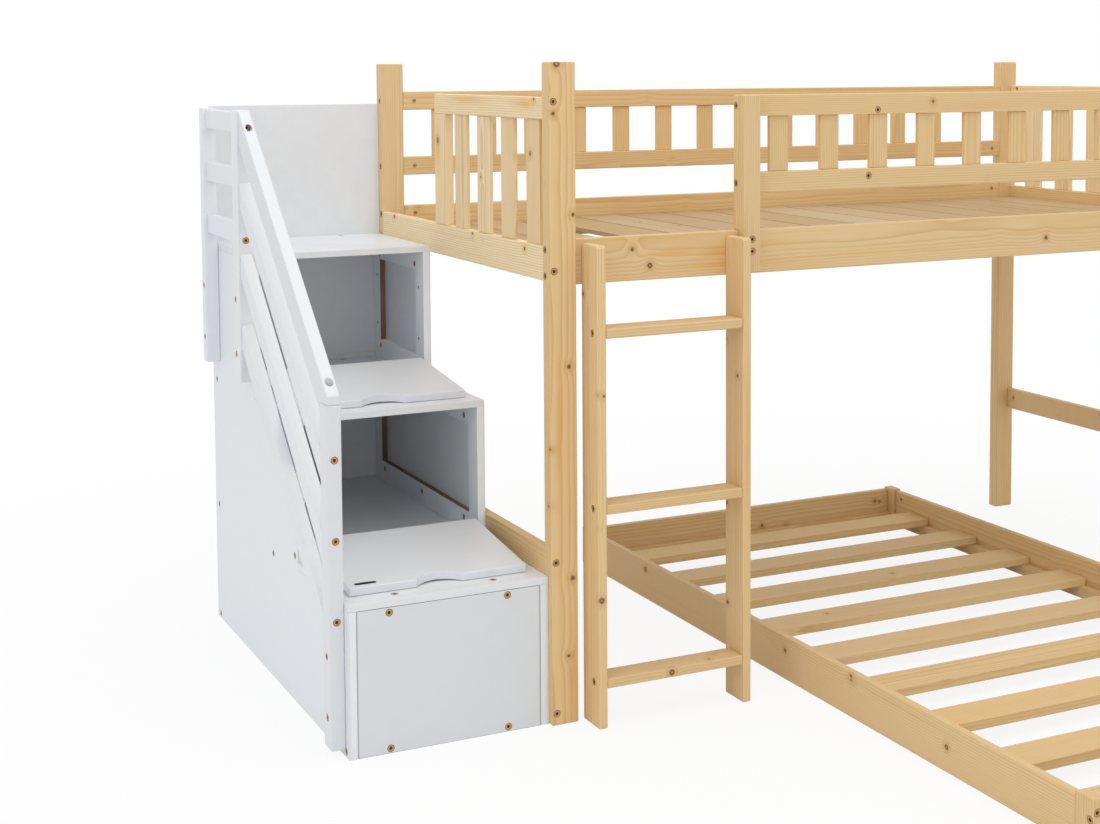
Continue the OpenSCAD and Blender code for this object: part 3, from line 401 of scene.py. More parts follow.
def paint(name, look):
    """Satin paint on smooth board: a faint roller stipple, slow waves in the board below, a thin
    greyish line along each edge, a dark line of painted shade round a board that is marked as let in,
    brown board where a face is marked as bare, and painted shade, near black, on the faces that are
    marked as a slot's. A board's tone past 0 to 1 paints shade or light into the paint."""
    sheet = Sheet(name)
    place = sheet.place()
    inside = sheet.edge_distance()
    bare, let_in, slot = (sheet.attribute(mark, "Fac") for mark in ("bare", "let_in", "slot"))
    tone, warm, coarse = sheet.split(sheet.attribute("board"))

    stipple = sheet.noise(place, scale=620.0)
    wave = sheet.noise(place, scale=9.0)
    smudge = sheet.noise(place, scale=26.0, detail=4.0, rough=0.6)
    fuzz = sheet.noise(place, scale=330.0, detail=3.0, rough=0.7)
    edge = (inside + (smudge - 0.5) * 0.0022).fade(0.0002, 0.0019)
    # Painted shade: a dark line round a let-in board, for the shade in the joint
    joint_shade = inside.fade(0.0003, 0.0013) * let_in
    ragged = (bare + (fuzz - 0.5) * 0.5).fade(0.62, 0.48)

    # A tone past 0 to 1 paints shade or light: darker on the front panel, newel and handrail, whiter on
    # the boards inside the bays
    shade = 0.965 + tone * 0.035 + (smudge - 0.5) * 0.035
    cast = sheet.join(shade, shade, shade * (0.995 + warm * 0.01))
    base = sheet.mix(1.0, look.paint, cast, blend="MULTIPLY")
    # A thin greyish line along each edge of a painted board
    base = sheet.mix(edge * (0.06 + coarse * 0.08), base, EDGE_GREY)
    base = sheet.mix(joint_shade * 0.85, base, PAINTED_JOINT_SHADE)
    raw = sheet.mix(fuzz, look.board, darker(look.board, 1.7))
    base = sheet.mix(ragged, base, raw)
    # Painted shade: near black on the faces inside a slot
    base = sheet.mix(slot, base, PAINTED_SLOT_SHADE)
    rough = look.roughness + (smudge - 0.5) * 0.12 + ragged * 0.35
    height = stipple * 0.35 + wave * 1.6 + ragged * fuzz * 0.8
    return sheet.finish(base, rough, height, relief=0.00016, strength=0.35)


def zinc(name, look):
    """Yellow-passivated zinc on turned fasteners: the tint runs from copper to olive with the piece, a
    painted highlight makes a brighter ring between rim and socket, the rim is darker, and painted shade
    darkens the socket inside. A tint past 1 makes the piece dull and nearly black."""
    sheet = Sheet(name)
    radius, depth, tint = sheet.split(sheet.attribute("turned"))
    blotch = sheet.noise(sheet.place(), scale=240.0, detail=3.0, rough=0.6)
    swirl = sheet.noise(sheet.join(radius * 9000.0, depth * 3000.0, tint * 50.0))
    ring = radius.fade(0.0048, 0.0040) * (1.0 - radius.fade(0.0064, 0.0054))
    rim = radius.fade(0.0070, 0.0063)
    socket = (1.0 - radius.fade(0.0040, 0.0034)) * depth.fade(0.0022, 0.0008)
    dull = tint.fade(1.5, 1.0)

    base = sheet.mix(tint.least(1.0) * 0.8 + (blotch - 0.5) * 0.9, look.copper, look.olive)
    # Painted highlight: a brighter ring between rim and socket
    base = sheet.mix(ring * 0.35, base, PAINTED_RING_HIGHLIGHT)
    # A darker ring round the head's rim
    base = sheet.mix(rim * 0.6, base, DARKER_RIM)
    # Painted shade: the socket is darkened inside
    base = sheet.mix(socket * 0.8, base, PAINTED_SOCKET_SHADE)
    base = sheet.mix(dull * 0.75, base, BLACKENED)
    rough = 0.36 + blotch * 0.2 + socket * 0.2
    return sheet.finish(base, rough, swirl, relief=0.00006, strength=0.4, Metallic=0.75)


def steel(name, look):
    """Bright zinc on pressed steel: a fine brushed grain along the hinge and small dull spots."""
    sheet = Sheet(name)
    place = sheet.place()
    x, y, z = sheet.split(place)
    brush = sheet.noise(sheet.join(x * 90.0, y * 2600.0, z * 2600.0))
    spots = sheet.noise(place, scale=300.0, detail=3.0)
    base = sheet.mix(spots.fade(0.75, 0.5) * 0.5, look.steel, DULL_STEEL)
    return sheet.finish(base, 0.30 + spots * 0.25, brush, relief=0.00004, strength=0.4, Metallic=0.9)


def islands(mesh):
    """Number of the solid that each vertex belongs to: every vertex takes the lowest number
    among its neighbours, over and over, until nothing changes."""
    count = len(mesh.vertices)
    ends = np.empty(len(mesh.edges) * 2, dtype=np.int64)
    mesh.edges.foreach_get("vertices", ends)
    ends = ends.reshape(-1, 2)
    label = np.arange(count)
    while True:
        lowest = np.minimum(label[ends[:, 0]], label[ends[:, 1]])
        fresh = label.copy()
        np.minimum.at(fresh, ends[:, 0], lowest)
        np.minimum.at(fresh, ends[:, 1], lowest)
        fresh = fresh[fresh]
        if np.array_equal(fresh, label):
            break
        label = fresh
    return np.unique(label, return_inverse=True)[1]


def points_of(mesh):
    """The mesh's vertices as an array."""
    points = np.empty(len(mesh.vertices) * 3)
    mesh.vertices.foreach_get("co", points)
    return points.reshape(-1, 3)


def solids_of(mesh, name):
    """The mesh's points, and for each solid in it the numbers of its points and a random
    source of its own, in an order that depends only on where the solids are."""
    points = points_of(mesh)
    label = islands(mesh)
    groups = [np.flatnonzero(label == i) for i in range(label.max() + 1)]
    groups.sort(key=lambda members: tuple(np.round(points[members].mean(axis=0), 3)))
    seed, stride = zlib.crc32(name.encode()), 7919
    return points, [(members, np.random.RandomState((seed + stride * i) % 2**32))
                    for i, members in enumerate(groups)]


def faces_of(mesh):
    """The normals, centres and areas of the mesh's faces as arrays."""
    normal, centre = np.empty((2, len(mesh.polygons) * 3))
    area = np.empty(len(mesh.polygons))
    mesh.polygons.foreach_get("normal", normal)
    mesh.polygons.foreach_get("center", centre)
    mesh.polygons.foreach_get("area", area)
    return normal.reshape(-1, 3), centre.reshape(-1, 3), area


def merged(node):
    """A copy of a CAD node's loose triangles, with their shared corners joined."""
    work = bmesh.new()
    work.from_mesh(frame["nodes"][node].data)
    bmesh.ops.remove_doubles(work, verts=work.verts, dist=1e-5)
    return work


def shown(name, mesh):
    """A new object in the scene that holds the mesh."""
    piece = bpy.data.objects.new(name, mesh)
    bpy.context.scene.collection.objects.link(piece)
    return piece


def stand_in(piece, node):
    """Puts a piece in a CAD node's place, on its body, and hides the node."""
    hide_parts(node)
    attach(piece, frame["nodes"][node]["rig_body"])
    return piece


def write_attribute(mesh, name, values, domain="POINT"):
    """Keeps an array of vectors or numbers on the mesh for its material to read."""
    values = np.asarray(values, dtype=np.float32)
    kind = "FLOAT_VECTOR" if values.ndim == 2 else "FLOAT"
    layer = mesh.attributes.new(name, kind, domain)
    layer.data.foreach_set("vector" if values.ndim == 2 else "value", values.ravel())


def write_boards(mesh, name, tones):
    """Attributes of sawn boards. grain: place along the board and across it, from a pith that
    lies beside the board. board: three numbers of the board, for its tone, within the given
    limits, its warmth and its ring width. inset: how far a point lies inside the board's box,
    each way."""
    points, solids = solids_of(mesh, name)
    grain, board, inset = np.zeros((3, *points.shape))
    # How far off the pith lies, and half the length of the log that boards are cut from
    nearest, furthest, half_log = 0.02, 0.09, 20
    for members, dice in solids:
        local = points[members]
        low, high = local.min(axis=0), local.max(axis=0)
        centre, half = (low + high) / 2, (high - low) / 2
        order = np.argsort(-half)
        angle = dice.uniform(0, 2 * math.pi)
        away = dice.uniform(nearest, furthest) + half[order[1]] * dice.uniform(0.2, 0.9)
        pith = np.array([dice.uniform(-half_log, half_log), away * math.cos(angle),
                         away * math.sin(angle)])
        grain[members] = (local - centre)[:, order] + pith
        board[members] = (dice.uniform(*tones), *dice.uniform(0, 1, 2))
        inset[members] = half - np.abs(local - centre)
    write_attribute(mesh, "grain", grain)
    write_attribute(mesh, "board", board)
    write_attribute(mesh, "inset", inset)


def clearance(edge, points):
    """Least distance from an edge to the points that don't lie on it: a point's place along
    the edge is its projection, kept between the two ends."""
    start, end = (np.array(vertex.co) for vertex in edge.verts)
    along = end - start
    share = np.clip((points - start) @ along / (along @ along), 0.0, 1.0)
    distance = np.linalg.norm(points - start - share[:, None] * along, axis=1)
    touching, open_air = 1e-4, 1.0
    return distance[distance > touching].min(initial=open_air)


# Angles between two faces: the least of an outer edge, of a drawn edge and of a bore's wall
OUTER_EDGE = math.radians(28)
DRAWN_EDGE = math.radians(20)
BORE_WALL = math.radians(2)


def on_a_bore(edge):
    """Whether a short edge belongs to a bore's rim, which the hollow wall beside it tells."""
    longest = 0.012
    return edge.calc_length() < longest and any(
        other.calc_face_angle_signed(0.0) < -BORE_WALL
        for vertex in edge.verts for other in vertex.link_edges if len(other.link_faces) == 2)


def weigh_edges(work, ease, rim, bored):
    """Writes each edge's share of the ease. Outer edges get it all, in a bored piece no more
    than the bores beside them leave, and a bore's rim gets the given small part."""
    weight = work.edges.layers.float.new("bevel_weight_edge")
    outer, rims = [], []
    for edge in work.edges:
        turn = edge.calc_face_angle_signed(0.0) if len(edge.link_faces) == 2 else 0.0
        if turn < OUTER_EDGE:
            edge.smooth = abs(turn) < DRAWN_EDGE
            continue
        edge[weight] = rim
        (rims if on_a_bore(edge) else outer).append(edge)
    holes = [vertex.co for edge in rims for vertex in edge.verts] if bored else []
    holes = np.array(holes).reshape(-1, 3)
    wall, least = 0.0003, 0.15
    for edge in outer:
        room = clearance(edge, holes) - rim * ease - wall
        edge[weight] = min(max(room / ease, least), 1.0)


def dressed(node, material, slot, ease, rim=0.16, segments=3, bored=True):
    """A CAD node's piece with eased edges. Corners that turn inwards stay sharp, the large
    faces set the normals, and no point leaves the node's box."""
    work = merged(node)
    bmesh.ops.dissolve_limit(work, angle_limit=math.radians(0.6), verts=work.verts, edges=work.edges)
    weigh_edges(work, ease, rim, bored)
    for face in work.faces:
        face.smooth = True
    mesh = bpy.data.meshes.new(node + "_made")
    work.to_mesh(mesh)
    work.free()
    piece = shown(node + "_made", mesh)
    bevel = piece.modifiers.new("ease", "BEVEL")
    bevel.limit_method = "WEIGHT"
    bevel.width = ease
    bevel.segments = segments
    bevel.use_clamp_overlap = False
    bevel.loop_slide = False
    shade = piece.modifiers.new("shade", "WEIGHTED_NORMAL")
    shade.weight = 100
    shade.keep_sharp = True
    eased = bpy.data.meshes.new_from_object(piece.evaluated_get(bpy.context.evaluated_depsgraph_get()))
    low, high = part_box(node)
    eased.vertices.foreach_set("co", np.clip(points_of(eased), low, high).ravel())
    piece.modifiers.clear()
    piece.data = eased
    bpy.data.meshes.remove(mesh)
    eased.name = node + "_made"
    eased.materials.clear()
    eased.materials.append(material)
    if not len(eased.polygons):
        raise RuntimeError(f"{node} came out empty")
    return stand_in(piece, node)


def dress_boards(nodes, material, slot, ease, tones=(0.0, 1.0), **edges):
    """Dresses several nodes of boards alike. The tones are the darkest and the palest that their boards
    may have: 0 and 1 are usual, and painted boards may go past them, which paints shade or light into
    the paint."""
    pieces = []
    for node in nodes:
        piece = dressed(node, material, slot, ease, **edges)
        write_boards(piece.data, node, tones)
        pieces.append(piece)
    return pieces


def turned_fastener(head_r, head_h, shank_r, length, socket_r, socket_h, cross, segments):
    """Points and faces of one fastener, its head's top at the origin and its shank down +Z.
    The surface is a profile of radius and depth carried round the axis. In the socket the
    radius changes with the angle: a hexagon's, which is the half width over the cosine of
    the angle to the nearest flat, or a cross's, which is the half arm width over the smaller
    of sine and cosine, up to the arm's length."""
    angle = np.arange(segments) * 2 * math.pi / segments
    flat = (angle % (math.pi / 3)) - math.pi / 6
    hexagon = socket_r * math.cos(math.pi / 6) / np.cos(flat)
    narrow = np.minimum(np.abs(np.sin(angle)), np.abs(np.cos(angle)))
    arm, taper, soft = 0.22, 0.75, 0.0004
    arms = np.minimum(socket_r, arm * socket_r / np.maximum(narrow, 1e-3))
    recess = arms if cross else hexagon
    ring = np.ones(segments)
    profile = [
        (shank_r * taper * ring, length), (shank_r * ring, length - soft * 2),
        (shank_r * ring, head_h), (head_r * ring, head_h), (head_r * ring, soft * 1.5),
        ((head_r - soft * 0.5) * ring, soft * 0.5), ((head_r - soft * 1.6) * ring, 0.0),
        (recess + soft, 0.0), (recess, soft * 0.8), (recess, socket_h),
    ]
    radius = np.array([row for row, depth in profile])
    depth = np.array([np.full(segments, depth) for row, depth in profile])
    points = np.stack([radius * np.cos(angle), radius * np.sin(angle), depth], axis=-1).reshape(-1, 3)
    points = np.vstack([points, [0.0, 0.0, length], [0.0, 0.0, socket_h]])
    i = np.arange(segments)
    after = (i + 1) % segments
    faces = []
    for row in range(len(profile) - 1):
        a, b = row * segments, (row + 1) * segments
        faces += np.stack([a + i, b + i, b + after, a + after], axis=1).tolist()
    last = (len(profile) - 1) * segments
    tip, floor = len(points) - 2, len(points) - 1
    faces += np.stack([np.full(segments, tip), i, after], axis=1).tolist()
    faces += np.stack([last + i, np.full(segments, floor), last + after], axis=1).tolist()
    return points, faces


# Mean tint of the fasteners that point sideways and of the others: 0 is copper, 1 is olive.
# Each differs from its mean by up to the spread.
OLIVE_SIDEWAYS, OLIVE_ELSE, OLIVE_SPREAD = 0.8, 0.35, 0.35


def seat_of(local):
    """Where a fastener sits, from its solid's points: its axis, 1 or -1 for the way that it
    points along it, the middle of its head's top, its length and its shank's radius. The axis
    is the side that differs most from the other two, and the head is at the end where points
    lie further from the axis."""
    low, high = local.min(axis=0), local.max(axis=0)
    axis = int(np.argmax(np.abs(high - low - np.median(high - low))))
    top = (low + high) / 2
    off = np.linalg.norm(np.delete(local - top, axis, axis=1), axis=1)
    slack, tip_share = 1e-4, 0.1
    head = local[off > off.max() - slack, axis].mean()
    sign = 1.0 if head < top[axis] else -1.0
    length = high[axis] - low[axis]
    top[axis] = low[axis] if sign > 0 else high[axis]
    tip = np.abs(local[:, axis] - top[axis]) > length * (1.0 - tip_share)
    return axis, sign, top, length, off[tip].max()


def turned_piece(node, material, head, socket, cross, segments, dull=0.0):
    """Bolts or screws turned anew in the places of a node's solids. Head and socket are each
    a radius and a height. Dull ones are darker: their tint is raised by up to 1."""
    work = merged(node)
    joined = bpy.data.meshes.new(node + "_merged")
    work.to_mesh(joined)
    work.free()
    points, solids = solids_of(joined, node)
    bpy.data.meshes.remove(joined)
    all_points, all_faces, all_turned = [], [], []
    for members, dice in solids:
        axis, sign, top, length, shank_r = seat_of(points[members])
        surface, faces = turned_fastener(*head, shank_r, length, *socket, cross, segments)
        spin = dice.uniform(0, 2 * math.pi)
        down, first = np.zeros((2, 3))
        down[axis] = sign
        first[[k for k in range(3) if k != axis]] = math.cos(spin), math.sin(spin)
        second = np.cross(down, first)
        start = sum(len(block) for block in all_points)
        radius = np.hypot(surface[:, 0], surface[:, 1])
        olive = OLIVE_SIDEWAYS if axis == 0 else OLIVE_ELSE
        tint = np.clip(olive + dice.uniform(-OLIVE_SPREAD, OLIVE_SPREAD), 0, 1) + dull
        all_points.append(surface @ np.array([first, second, down]) + top)
        all_faces += [[start + corner for corner in face] for face in faces]
        all_turned.append(np.stack([radius, surface[:, 2], np.full(len(radius), tint)], axis=1))
    mesh = bpy.data.meshes.new(node + "_made")
    mesh.from_pydata(np.vstack(all_points).tolist(), [], all_faces)
    mesh.update()
    write_attribute(mesh, "turned", np.vstack(all_turned))
    mesh.polygons.foreach_set("use_smooth", np.ones(len(mesh.polygons), dtype=bool))
    mesh.set_sharp_from_angle(angle=math.radians(35))
    mesh.materials.append(material)
    return stand_in(shown(node + "_made", mesh), node)


PINE_SLOT = "pine"
PAINT_SLOT = "white_paint"
ZINC_SLOT = "bolt_zinc"
STEEL_SLOT = "hinge_steel"

# Shares of the usual eased edge that other boards get, and the ease of hinges and nuts
POST, LADDER, THIN, LID, PANEL, FRAME = 1.15, 1.2, 0.7, 1.8, 0.6, 0.5
FINE_EASE = 0.0003

# Tones of painted boards past the usual 0 to 1, which paint shade or light into the paint: painted
# shade makes the front panel, the newel and the handrail darker, and painted light makes the boards
# inside the bays whiter
PAINTED_SHADE_FRONT, PAINTED_SHADE_RAIL, PAINTED_LIGHT_INSIDE = (-2.4, -2.0), (-1.6, -1.2), (2.0, 3.0)


def shared_paint(look):
    """The one white paint, made once."""
    return bpy.data.materials.get("white_satin_paint") or paint("white_satin_paint", look)


class BUNKBED_OT_posts(bpy.types.Operator):
    """Dress the loft bed's four corner posts"""
    bl_idname = "bunkbed.posts"
    bl_label = "Corner Posts"

    def execute(self, context):
        look = context.scene.bunkbed_pine
        material = pine("pine_posts", look, POST_KNOTS, POST_FLAMES)
        nodes = [f"post_{depth}_{side}" for depth in ("front", "back") for side in ("left", "right")]
        dress_boards(nodes, material, PINE_SLOT, look.ease * POST, tones=(0.3, 0.6))
        return {"FINISHED"}


class BUNKBED_OT_rails(bpy.types.Operator):
    """Dress the loft bed's side rails, end rails and stretchers"""
    bl_idname = "bunkbed.rails"
    bl_label = "Rails"

    def execute(self, context):
        look = context.scene.bunkbed_pine
        material = pine("pine_rails", look, RAIL_KNOTS, RAIL_FLAMES)
        nodes = ["side_rail_front", "side_rail_back", "end_rail_right", "stretcher_left",
                 "stretcher_right"]
        dress_boards(nodes, material, PINE_SLOT, look.ease, tones=(0.1, 0.5))
        dress_boards(["end_rail_left"], material, PINE_SLOT, look.ease, tones=(0.95, 1.0))
        return {"FINISHED"}


class BUNKBED_OT_deck(bpy.types.Operator):
    """Dress the loft's slats and the ledgers that carry them"""
    bl_idname = "bunkbed.deck"
    bl_label = "Loft Deck"

    def execute(self, context):
        look = context.scene.bunkbed_pine
        # The slats get painted shade along their edges, for the gaps between them
        material = pine("pine_deck", look, DECK_KNOTS, seam_shade=0.8, figure=1.5)
        dress_boards(["deck_slats"], material, PINE_SLOT, look.ease * THIN, tones=(0.25, 0.95))
        dress_boards(["deck_ledgers"], material, PINE_SLOT, look.ease * THIN, tones=(0.1, 0.5))
        return {"FINISHED"}


class BUNKBED_OT_guards(bpy.types.Operator):
    """Dress the guard rails, their balusters and the stiles beside the two ways in"""
    bl_idname = "bunkbed.guards"
    bl_label = "Guards"

    def execute(self, context):
        look = context.scene.bunkbed_pine
        material = pine("pine_guards", look, GUARD_KNOTS, GUARD_FLAMES)
        rails = ["guard_rails_back", "guard_rails_front", "entry_stile"]
        balusters = ["guard_balusters_back", "guard_balusters_front"]
        dress_boards(rails, material, PINE_SLOT, look.ease, tones=(0.1, 0.5))
        dress_boards(balusters, material, PINE_SLOT, look.ease * THIN, tones=(0.2, 0.6))
        dress_boards(["end_guard_rails", "end_stile"], material, PINE_SLOT, look.ease,
                     tones=(0.85, 1.0))
        dress_boards(["end_balusters"], material, PINE_SLOT, look.ease * THIN, tones=(0.7, 0.95))
        return {"FINISHED"}


class BUNKBED_OT_ladder(bpy.types.Operator):
    """Dress the ladder's stiles and treads"""
    bl_idname = "bunkbed.ladder"
    bl_label = "Ladder"

    def execute(self, context):
        look = context.scene.bunkbed_pine
        material = pine("pine_ladder", look, LADDER_KNOTS, LADDER_FLAMES)
        nodes = ["ladder_stile_left", "ladder_stile_right"]
        dress_boards(nodes, material, PINE_SLOT, look.ease * LADDER, tones=(0.4, 0.65))
        dress_boards(["ladder_treads"], material, PINE_SLOT, look.ease * LADDER, tones=(0.0, 0.3))
        return {"FINISHED"}


class BUNKBED_OT_low_bed(bpy.types.Operator):
    """Dress the low bed that stands crosswise on the floor"""
    bl_idname = "bunkbed.low_bed"
    bl_label = "Low Bed"

    def execute(self, context):
        look = context.scene.bunkbed_pine
        material = pine("pine_low_bed", look, LOW_KNOTS)
        nodes = ["low_side_rail_left", "low_side_rail_right", "low_end_rails", "low_posts"]
        dress_boards(nodes, material, PINE_SLOT, look.ease, tones=(0.0, 0.4))
        dress_boards(["low_ledgers", "low_slats"], material, PINE_SLOT, look.ease * THIN,
                     tones=(0.1, 0.6))
        return {"FINISHED"}


class BUNKBED_OT_walls(bpy.types.Operator):
    """Dress the staircase's walls, front, bottom, back and cleats"""
    bl_idname = "bunkbed.walls"
    bl_label = "Staircase Walls"

    def execute(self, context):
        look = context.scene.bunkbed_paint
        material = shared_paint(look)
        plain = ["stair_skin_left", "stair_skin_right", "stair_back", "stair_cleats"]
        dress_boards(plain, material, PAINT_SLOT, look.ease * PANEL, segments=2)
        # The bottom is made whiter: painted light inside the bays
        dress_boards(["stair_bottom"], material, PAINT_SLOT, look.ease * PANEL, tones=PAINTED_LIGHT_INSIDE,
                     segments=2)
        # The front panel is made greyer: painted shade
        front = dress_boards(["stair_front"], material, PAINT_SLOT, look.ease * PANEL,
                             tones=PAINTED_SHADE_FRONT, segments=2)[0]
        # The front panel is marked as let in, which gives it the painted shade round its edge
        write_attribute(front.data, "let_in", np.ones(len(front.data.polygons)), "FACE")
        # The frames are made whiter: painted light inside the bays
        for piece in dress_boards(["stair_frame_left", "stair_frame_right"], material, PAINT_SLOT,
                                  look.ease * FRAME, tones=PAINTED_LIGHT_INSIDE, segments=2):
            write_attribute(piece.data, "bare", self.window_faces(piece.data), "FACE")
        return {"FINISHED"}

    def window_faces(self, mesh):
        """1 on the faces that stay bare in the windows, the upright ones at the back and the
        lower window's sill. They stand square to the wall, and neither their depth nor their
        height is that of an outer edge of the wall."""
        normal, centre, area = faces_of(mesh)
        front, low_step, high_step, landing, back = (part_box(node)[0] for node in (
            "stair_front", "step_board_low", "step_board_high", "landing_board", "stair_back"))
        depths = [corner.y for corner in (front, high_step, landing, back)]
        heights = [corner.z for corner in (front, low_step, high_step, landing)]
        square, reach, smallest = 0.7, 0.004, 0.0012
        outer = np.zeros(len(area), dtype=bool)
        for axis, places in ((1, depths), (2, heights)):
            for place in places:
                outer |= (np.abs(normal[:, axis]) > square) & (np.abs(centre[:, axis] - place) < reach)
        sill = (normal[:, 2] > square) & (centre[:, 2] < high_step.z)
        return ((normal[:, 1] < -square) | sill) & (area > smallest) & ~outer


class BUNKBED_OT_steps(bpy.types.Operator):
    """Dress the two step boards and the landing"""
    bl_idname = "bunkbed.steps"
    bl_label = "Steps"

    def execute(self, context):
        look = context.scene.bunkbed_paint
        nodes = ["step_board_low", "step_board_high", "landing_board"]
        dress_boards(nodes, shared_paint(look), PAINT_SLOT, look.ease)
        return {"FINISHED"}


class BUNKBED_OT_lids(bpy.types.Operator):
    """Dress the two step lids and the battens behind them"""
    bl_idname = "bunkbed.lids"
    bl_label = "Step Lids"

    def execute(self, context):
        look = context.scene.bunkbed_paint
        material = shared_paint(look)
        lids = dress_boards(["lid_low", "lid_high"], material, PAINT_SLOT, look.ease * LID, rim=0.4,
                            bored=False)
        # The faces inside the lid's slot get painted shade
        write_attribute(lids[0].data, "slot", self.slot_shade_faces(lids[0].data), "FACE")
        dress_boards(["lid_battens"], material, PAINT_SLOT, look.ease)
        return {"FINISHED"}

    def slot_shade_faces(self, mesh):
        """1 on the small faces inside the slot near the lid's front left corner, which the paint makes
        near black as painted shade in the slot.
        """
        centre, area = faces_of(mesh)[1:]
        offset = (centre - np.array(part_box("lid_low")[0]))[:, :2]
        near_corner, far_corner, largest = (0.012, 0.008), (0.070, 0.032), 0.0012
        inside = ((offset > near_corner) & (offset < far_corner)).all(axis=1)
        return inside & (area < largest)


class BUNKBED_OT_railing(bpy.types.Operator):
    """Dress the newel, the handrail, the sloping slats and the landing's rails"""
    bl_idname = "bunkbed.railing"
    bl_label = "Railing"

    def execute(self, context):
        look = context.scene.bunkbed_paint
        nodes = ["landing_stile_front", "landing_stile_back", "landing_rails", "railing_slats"]
        # The newel and handrail are made greyer: painted shade
        dress_boards(["newel", "handrail"], shared_paint(look), PAINT_SLOT, look.rail_ease,
                     tones=PAINTED_SHADE_RAIL)
        dress_boards(nodes, shared_paint(look), PAINT_SLOT, look.rail_ease)
        return {"FINISHED"}


class BUNKBED_OT_hinges(bpy.types.Operator):
    """Dress the lids' hinges and their pins"""
    bl_idname = "bunkbed.hinges"
    bl_label = "Hinges"

    def execute(self, context):
        material = steel("hinge_zinc", context.scene.bunkbed_hardware)
        for node in ("hinges_fixed", "hinges_low", "hinges_high", "hinge_pins"):
            dressed(node, material, STEEL_SLOT, FINE_EASE, rim=0.5, segments=2, bored=False)
        return {"FINISHED"}


class BUNKBED_OT_fasteners(bpy.types.Operator):
    """Turn the bolts and screws and dress the barrel nuts"""
    bl_idname = "bunkbed.fasteners"
    bl_label = "Fasteners"

    def execute(self, context):
        look = context.scene.bunkbed_hardware
        material = zinc("yellow_zinc", look)
        for node in ("bed_bolts", "ladder_bolts", "stair_bolts"):
            turned_piece(node, material, head=(0.0075, 0.005), socket=(0.0035, 0.003),
                         cross=False, segments=look.segments)
        turned_piece("stair_screws", material, head=(0.004, 0.003),
                     socket=(0.0021, 0.0014), cross=True, segments=look.segments, dull=1.0)
        nuts = dressed("barrel_nuts", material, ZINC_SLOT, FINE_EASE, rim=0.5, segments=1, bored=False)
        self.write_nuts(nuts.data)
        return {"FINISHED"}

    def write_nuts(self, mesh):
        """A nut has one colour all over: that of a bolt head's ring, where the painted highlight lies,
        and its own tint.
        """
        points, solids = solids_of(mesh, "barrel_nuts")
        turned = np.zeros_like(points)
        ring_radius = 0.0045
        for members, dice in solids:
            turned[members] = (ring_radius, 0.0, dice.uniform(0.2, 0.8))
        write_attribute(mesh, "turned", turned)


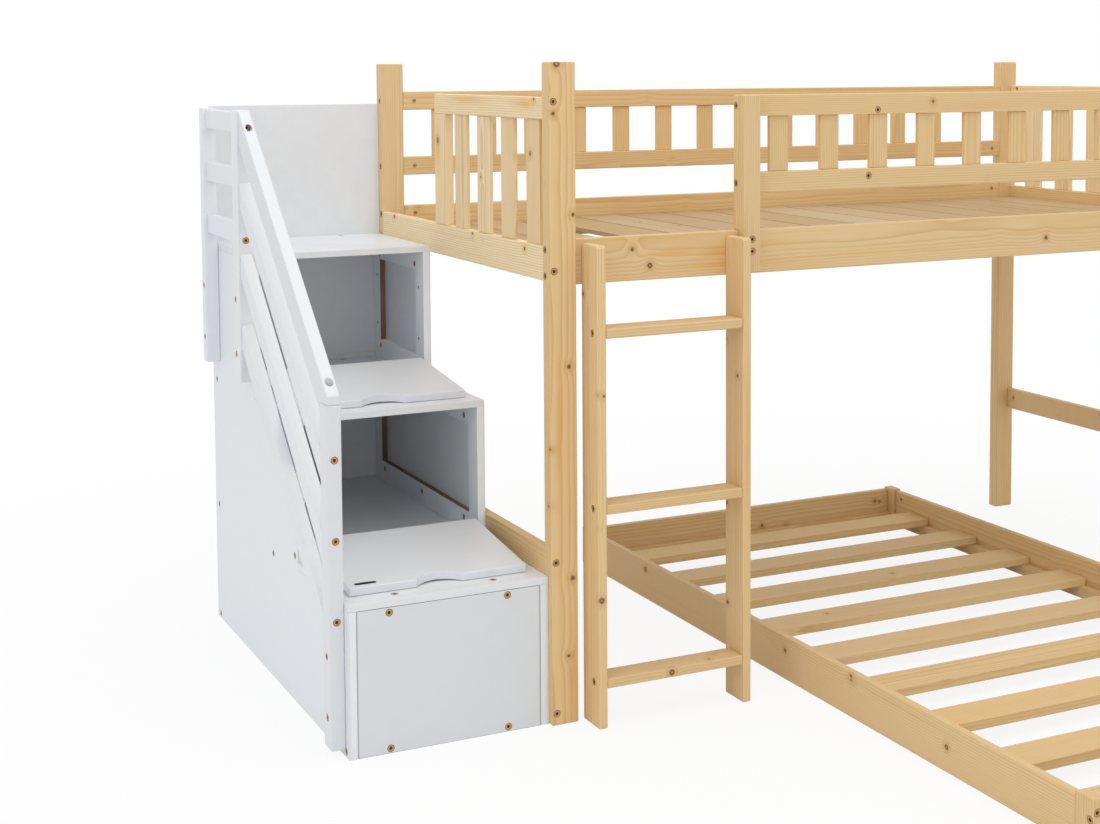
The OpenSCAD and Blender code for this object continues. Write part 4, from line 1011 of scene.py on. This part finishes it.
class BUNKBED_OT_stage(bpy.types.Operator):
    """Lay the floor and set the lights and the camera"""
    bl_idname = "bunkbed.stage"
    bl_label = "Stage"

    def execute(self, context):
        look = context.scene.bunkbed_stage
        self.lay_floor(look)
        self.light_room(context.scene, look)
        self.place_camera(context.scene, look)
        context.scene.view_settings.view_transform = "Standard"
        return {"FINISHED"}

    def seen(self, sheet):
        """1 for a camera, mirror or glass ray, 0 for the light that falls on things."""
        path = sheet.add("ShaderNodeLightPath").socket.node
        rays = [Value(sheet, path.outputs[name])
                for name in ("Is Camera Ray", "Is Glossy Ray", "Is Transmission Ray")]
        return rays[0].most(rays[1]).most(rays[2])

    def lay_floor(self, look):
        """A wide floor, cut into a grid so that it shades evenly: a point is its two
        parameters times the floor's reach. It shows as white, with a share of its own shading
        under the bed, none clear of it."""
        reach, steps = 14.0, 9
        span = np.linspace(-reach, reach, steps)
        u, v = np.meshgrid(span, span, indexing="ij")
        points = np.stack([u, v, np.zeros_like(u)], axis=-1).reshape(-1, 3)
        i, j = np.meshgrid(np.arange(steps - 1), np.arange(steps - 1), indexing="ij")
        corner = (i * steps + j).ravel()
        faces = np.stack([corner, corner + steps, corner + steps + 1, corner + 1], axis=1)
        mesh = bpy.data.meshes.new("floor")
        mesh.from_pydata(points.tolist(), [], faces.tolist())
        sheet = Sheet("pale_floor")
        mottle = sheet.noise(sheet.place(), scale=3.0)
        base = sheet.mix(mottle * 0.04, look.floor, FLOOR_MOTTLE)
        diffuse = sheet.add("ShaderNodeBsdfDiffuse", inputs={"Color": base})
        glow = sheet.add("ShaderNodeEmission", inputs={"Color": (1, 1, 1, 1), "Strength": 1.0})
        under, clear = 1.2, 3.4
        near = sheet.vector("LENGTH", sheet.place()).fade(under, clear)
        share = self.seen(sheet) * (1.0 - near * look.shadow)
        both = sheet.add("ShaderNodeMixShader", inputs={0: share, 1: diffuse, 2: glow})
        sheet.add("ShaderNodeOutputMaterial", inputs={"Surface": both})
        mesh.materials.append(sheet.owner)
        floor = shown("floor", mesh)

    def light_room(self, scene, look):
        """Even light from all sides, a large soft lamp at the left, one above, one in front.
        Each lamp has a place and a width in metres."""
        world = bpy.data.worlds.new("studio")
        sheet = Sheet(world)
        seen = self.seen(sheet)
        sky = sheet.add("ShaderNodeBackground", inputs={
            "Color": (1.0, 1.0, 1.0, 1.0), "Strength": seen + (1.0 - seen) * look.sky})
        sheet.add("ShaderNodeOutputWorld", inputs={"Surface": sky})
        scene.world = world
        aim = Vector((0.0, 0.0, 0.55))
        for name, place, size, power in (
                ("key", (-5.0, -1.8, 3.0), 3.2, look.key),
                ("top", (-0.3, -0.6, 4.6), 3.6, look.top),
                ("fill", (1.4, -5.4, 2.2), 3.0, look.fill)):
            lamp = bpy.data.lights.new(name, "AREA")
            lamp.shape = "SQUARE"
            lamp.size = size
            lamp.energy = power
            holder = bpy.data.objects.new(name, lamp)
            holder.location = place
            holder.rotation_euler = (aim - Vector(place)).to_track_quat("-Z", "Y").to_euler()
            scene.collection.objects.link(holder)

    def place_camera(self, scene, look):
        """The camera's axes come from its turn, dip and roll: it looks along the bed's depth,
        turned right by the turn and down by the dip, and rolls about that line."""
        sin, cos = math.sin, math.cos
        ahead = Vector((sin(look.turn) * cos(look.dip), cos(look.turn) * cos(look.dip), -sin(look.dip)))
        level = Vector((cos(look.turn), -sin(look.turn), 0.0))
        up = level.cross(ahead)
        right = level * cos(look.roll) + up * sin(look.roll)
        top = up * cos(look.roll) - level * sin(look.roll)
        lens = bpy.data.cameras.new("camera")
        lens.sensor_fit = "HORIZONTAL"
        lens.sensor_width = 36.0
        lens.lens = look.lens
        lens.shift_x, lens.shift_y = look.shift
        lens.clip_end = 100.0
        camera = bpy.data.objects.new("camera", lens)
        camera.matrix_world = Matrix.Translation(BED + Vector(look.camera)) @ Matrix(
            (right, top, -ahead)).transposed().to_4x4()
        scene.collection.objects.link(camera)
        scene.camera = camera


class BUNKBED_PT_panel(bpy.types.Panel):
    """Steps that dress the bed"""
    bl_label = "Bunk Bed"
    bl_idname = "BUNKBED_PT_panel"
    bl_space_type = "VIEW_3D"
    bl_region_type = "UI"
    bl_category = "Bunk Bed"

    def draw(self, context):
        for operator in OPERATORS:
            self.layout.operator(operator.bl_idname)


OPERATORS = (
    BUNKBED_OT_posts, BUNKBED_OT_rails, BUNKBED_OT_deck, BUNKBED_OT_guards, BUNKBED_OT_ladder,
    BUNKBED_OT_low_bed, BUNKBED_OT_walls, BUNKBED_OT_steps, BUNKBED_OT_lids, BUNKBED_OT_railing,
    BUNKBED_OT_hinges, BUNKBED_OT_fasteners, BUNKBED_OT_stage,
)
SETTINGS = {
    "bunkbed_pine": PineSettings, "bunkbed_paint": PaintSettings,
    "bunkbed_hardware": HardwareSettings, "bunkbed_stage": StageSettings,
}


CLASSES = (*SETTINGS.values(), *OPERATORS, BUNKBED_PT_panel)


def register():
    for group in CLASSES:
        bpy.utils.register_class(group)
    for name, group in SETTINGS.items():
        setattr(bpy.types.Scene, name, PointerProperty(type=group))


def unregister():
    for name in SETTINGS:
        delattr(bpy.types.Scene, name)
    for group in reversed(CLASSES):
        bpy.utils.unregister_class(group)


def main():
    """Dresses every piece and sets the stage."""
    register()
    for operator in OPERATORS:
        group, name = operator.bl_idname.split(".")
        getattr(getattr(bpy.ops, group), name)()


if __name__ == "__main__":
    main()
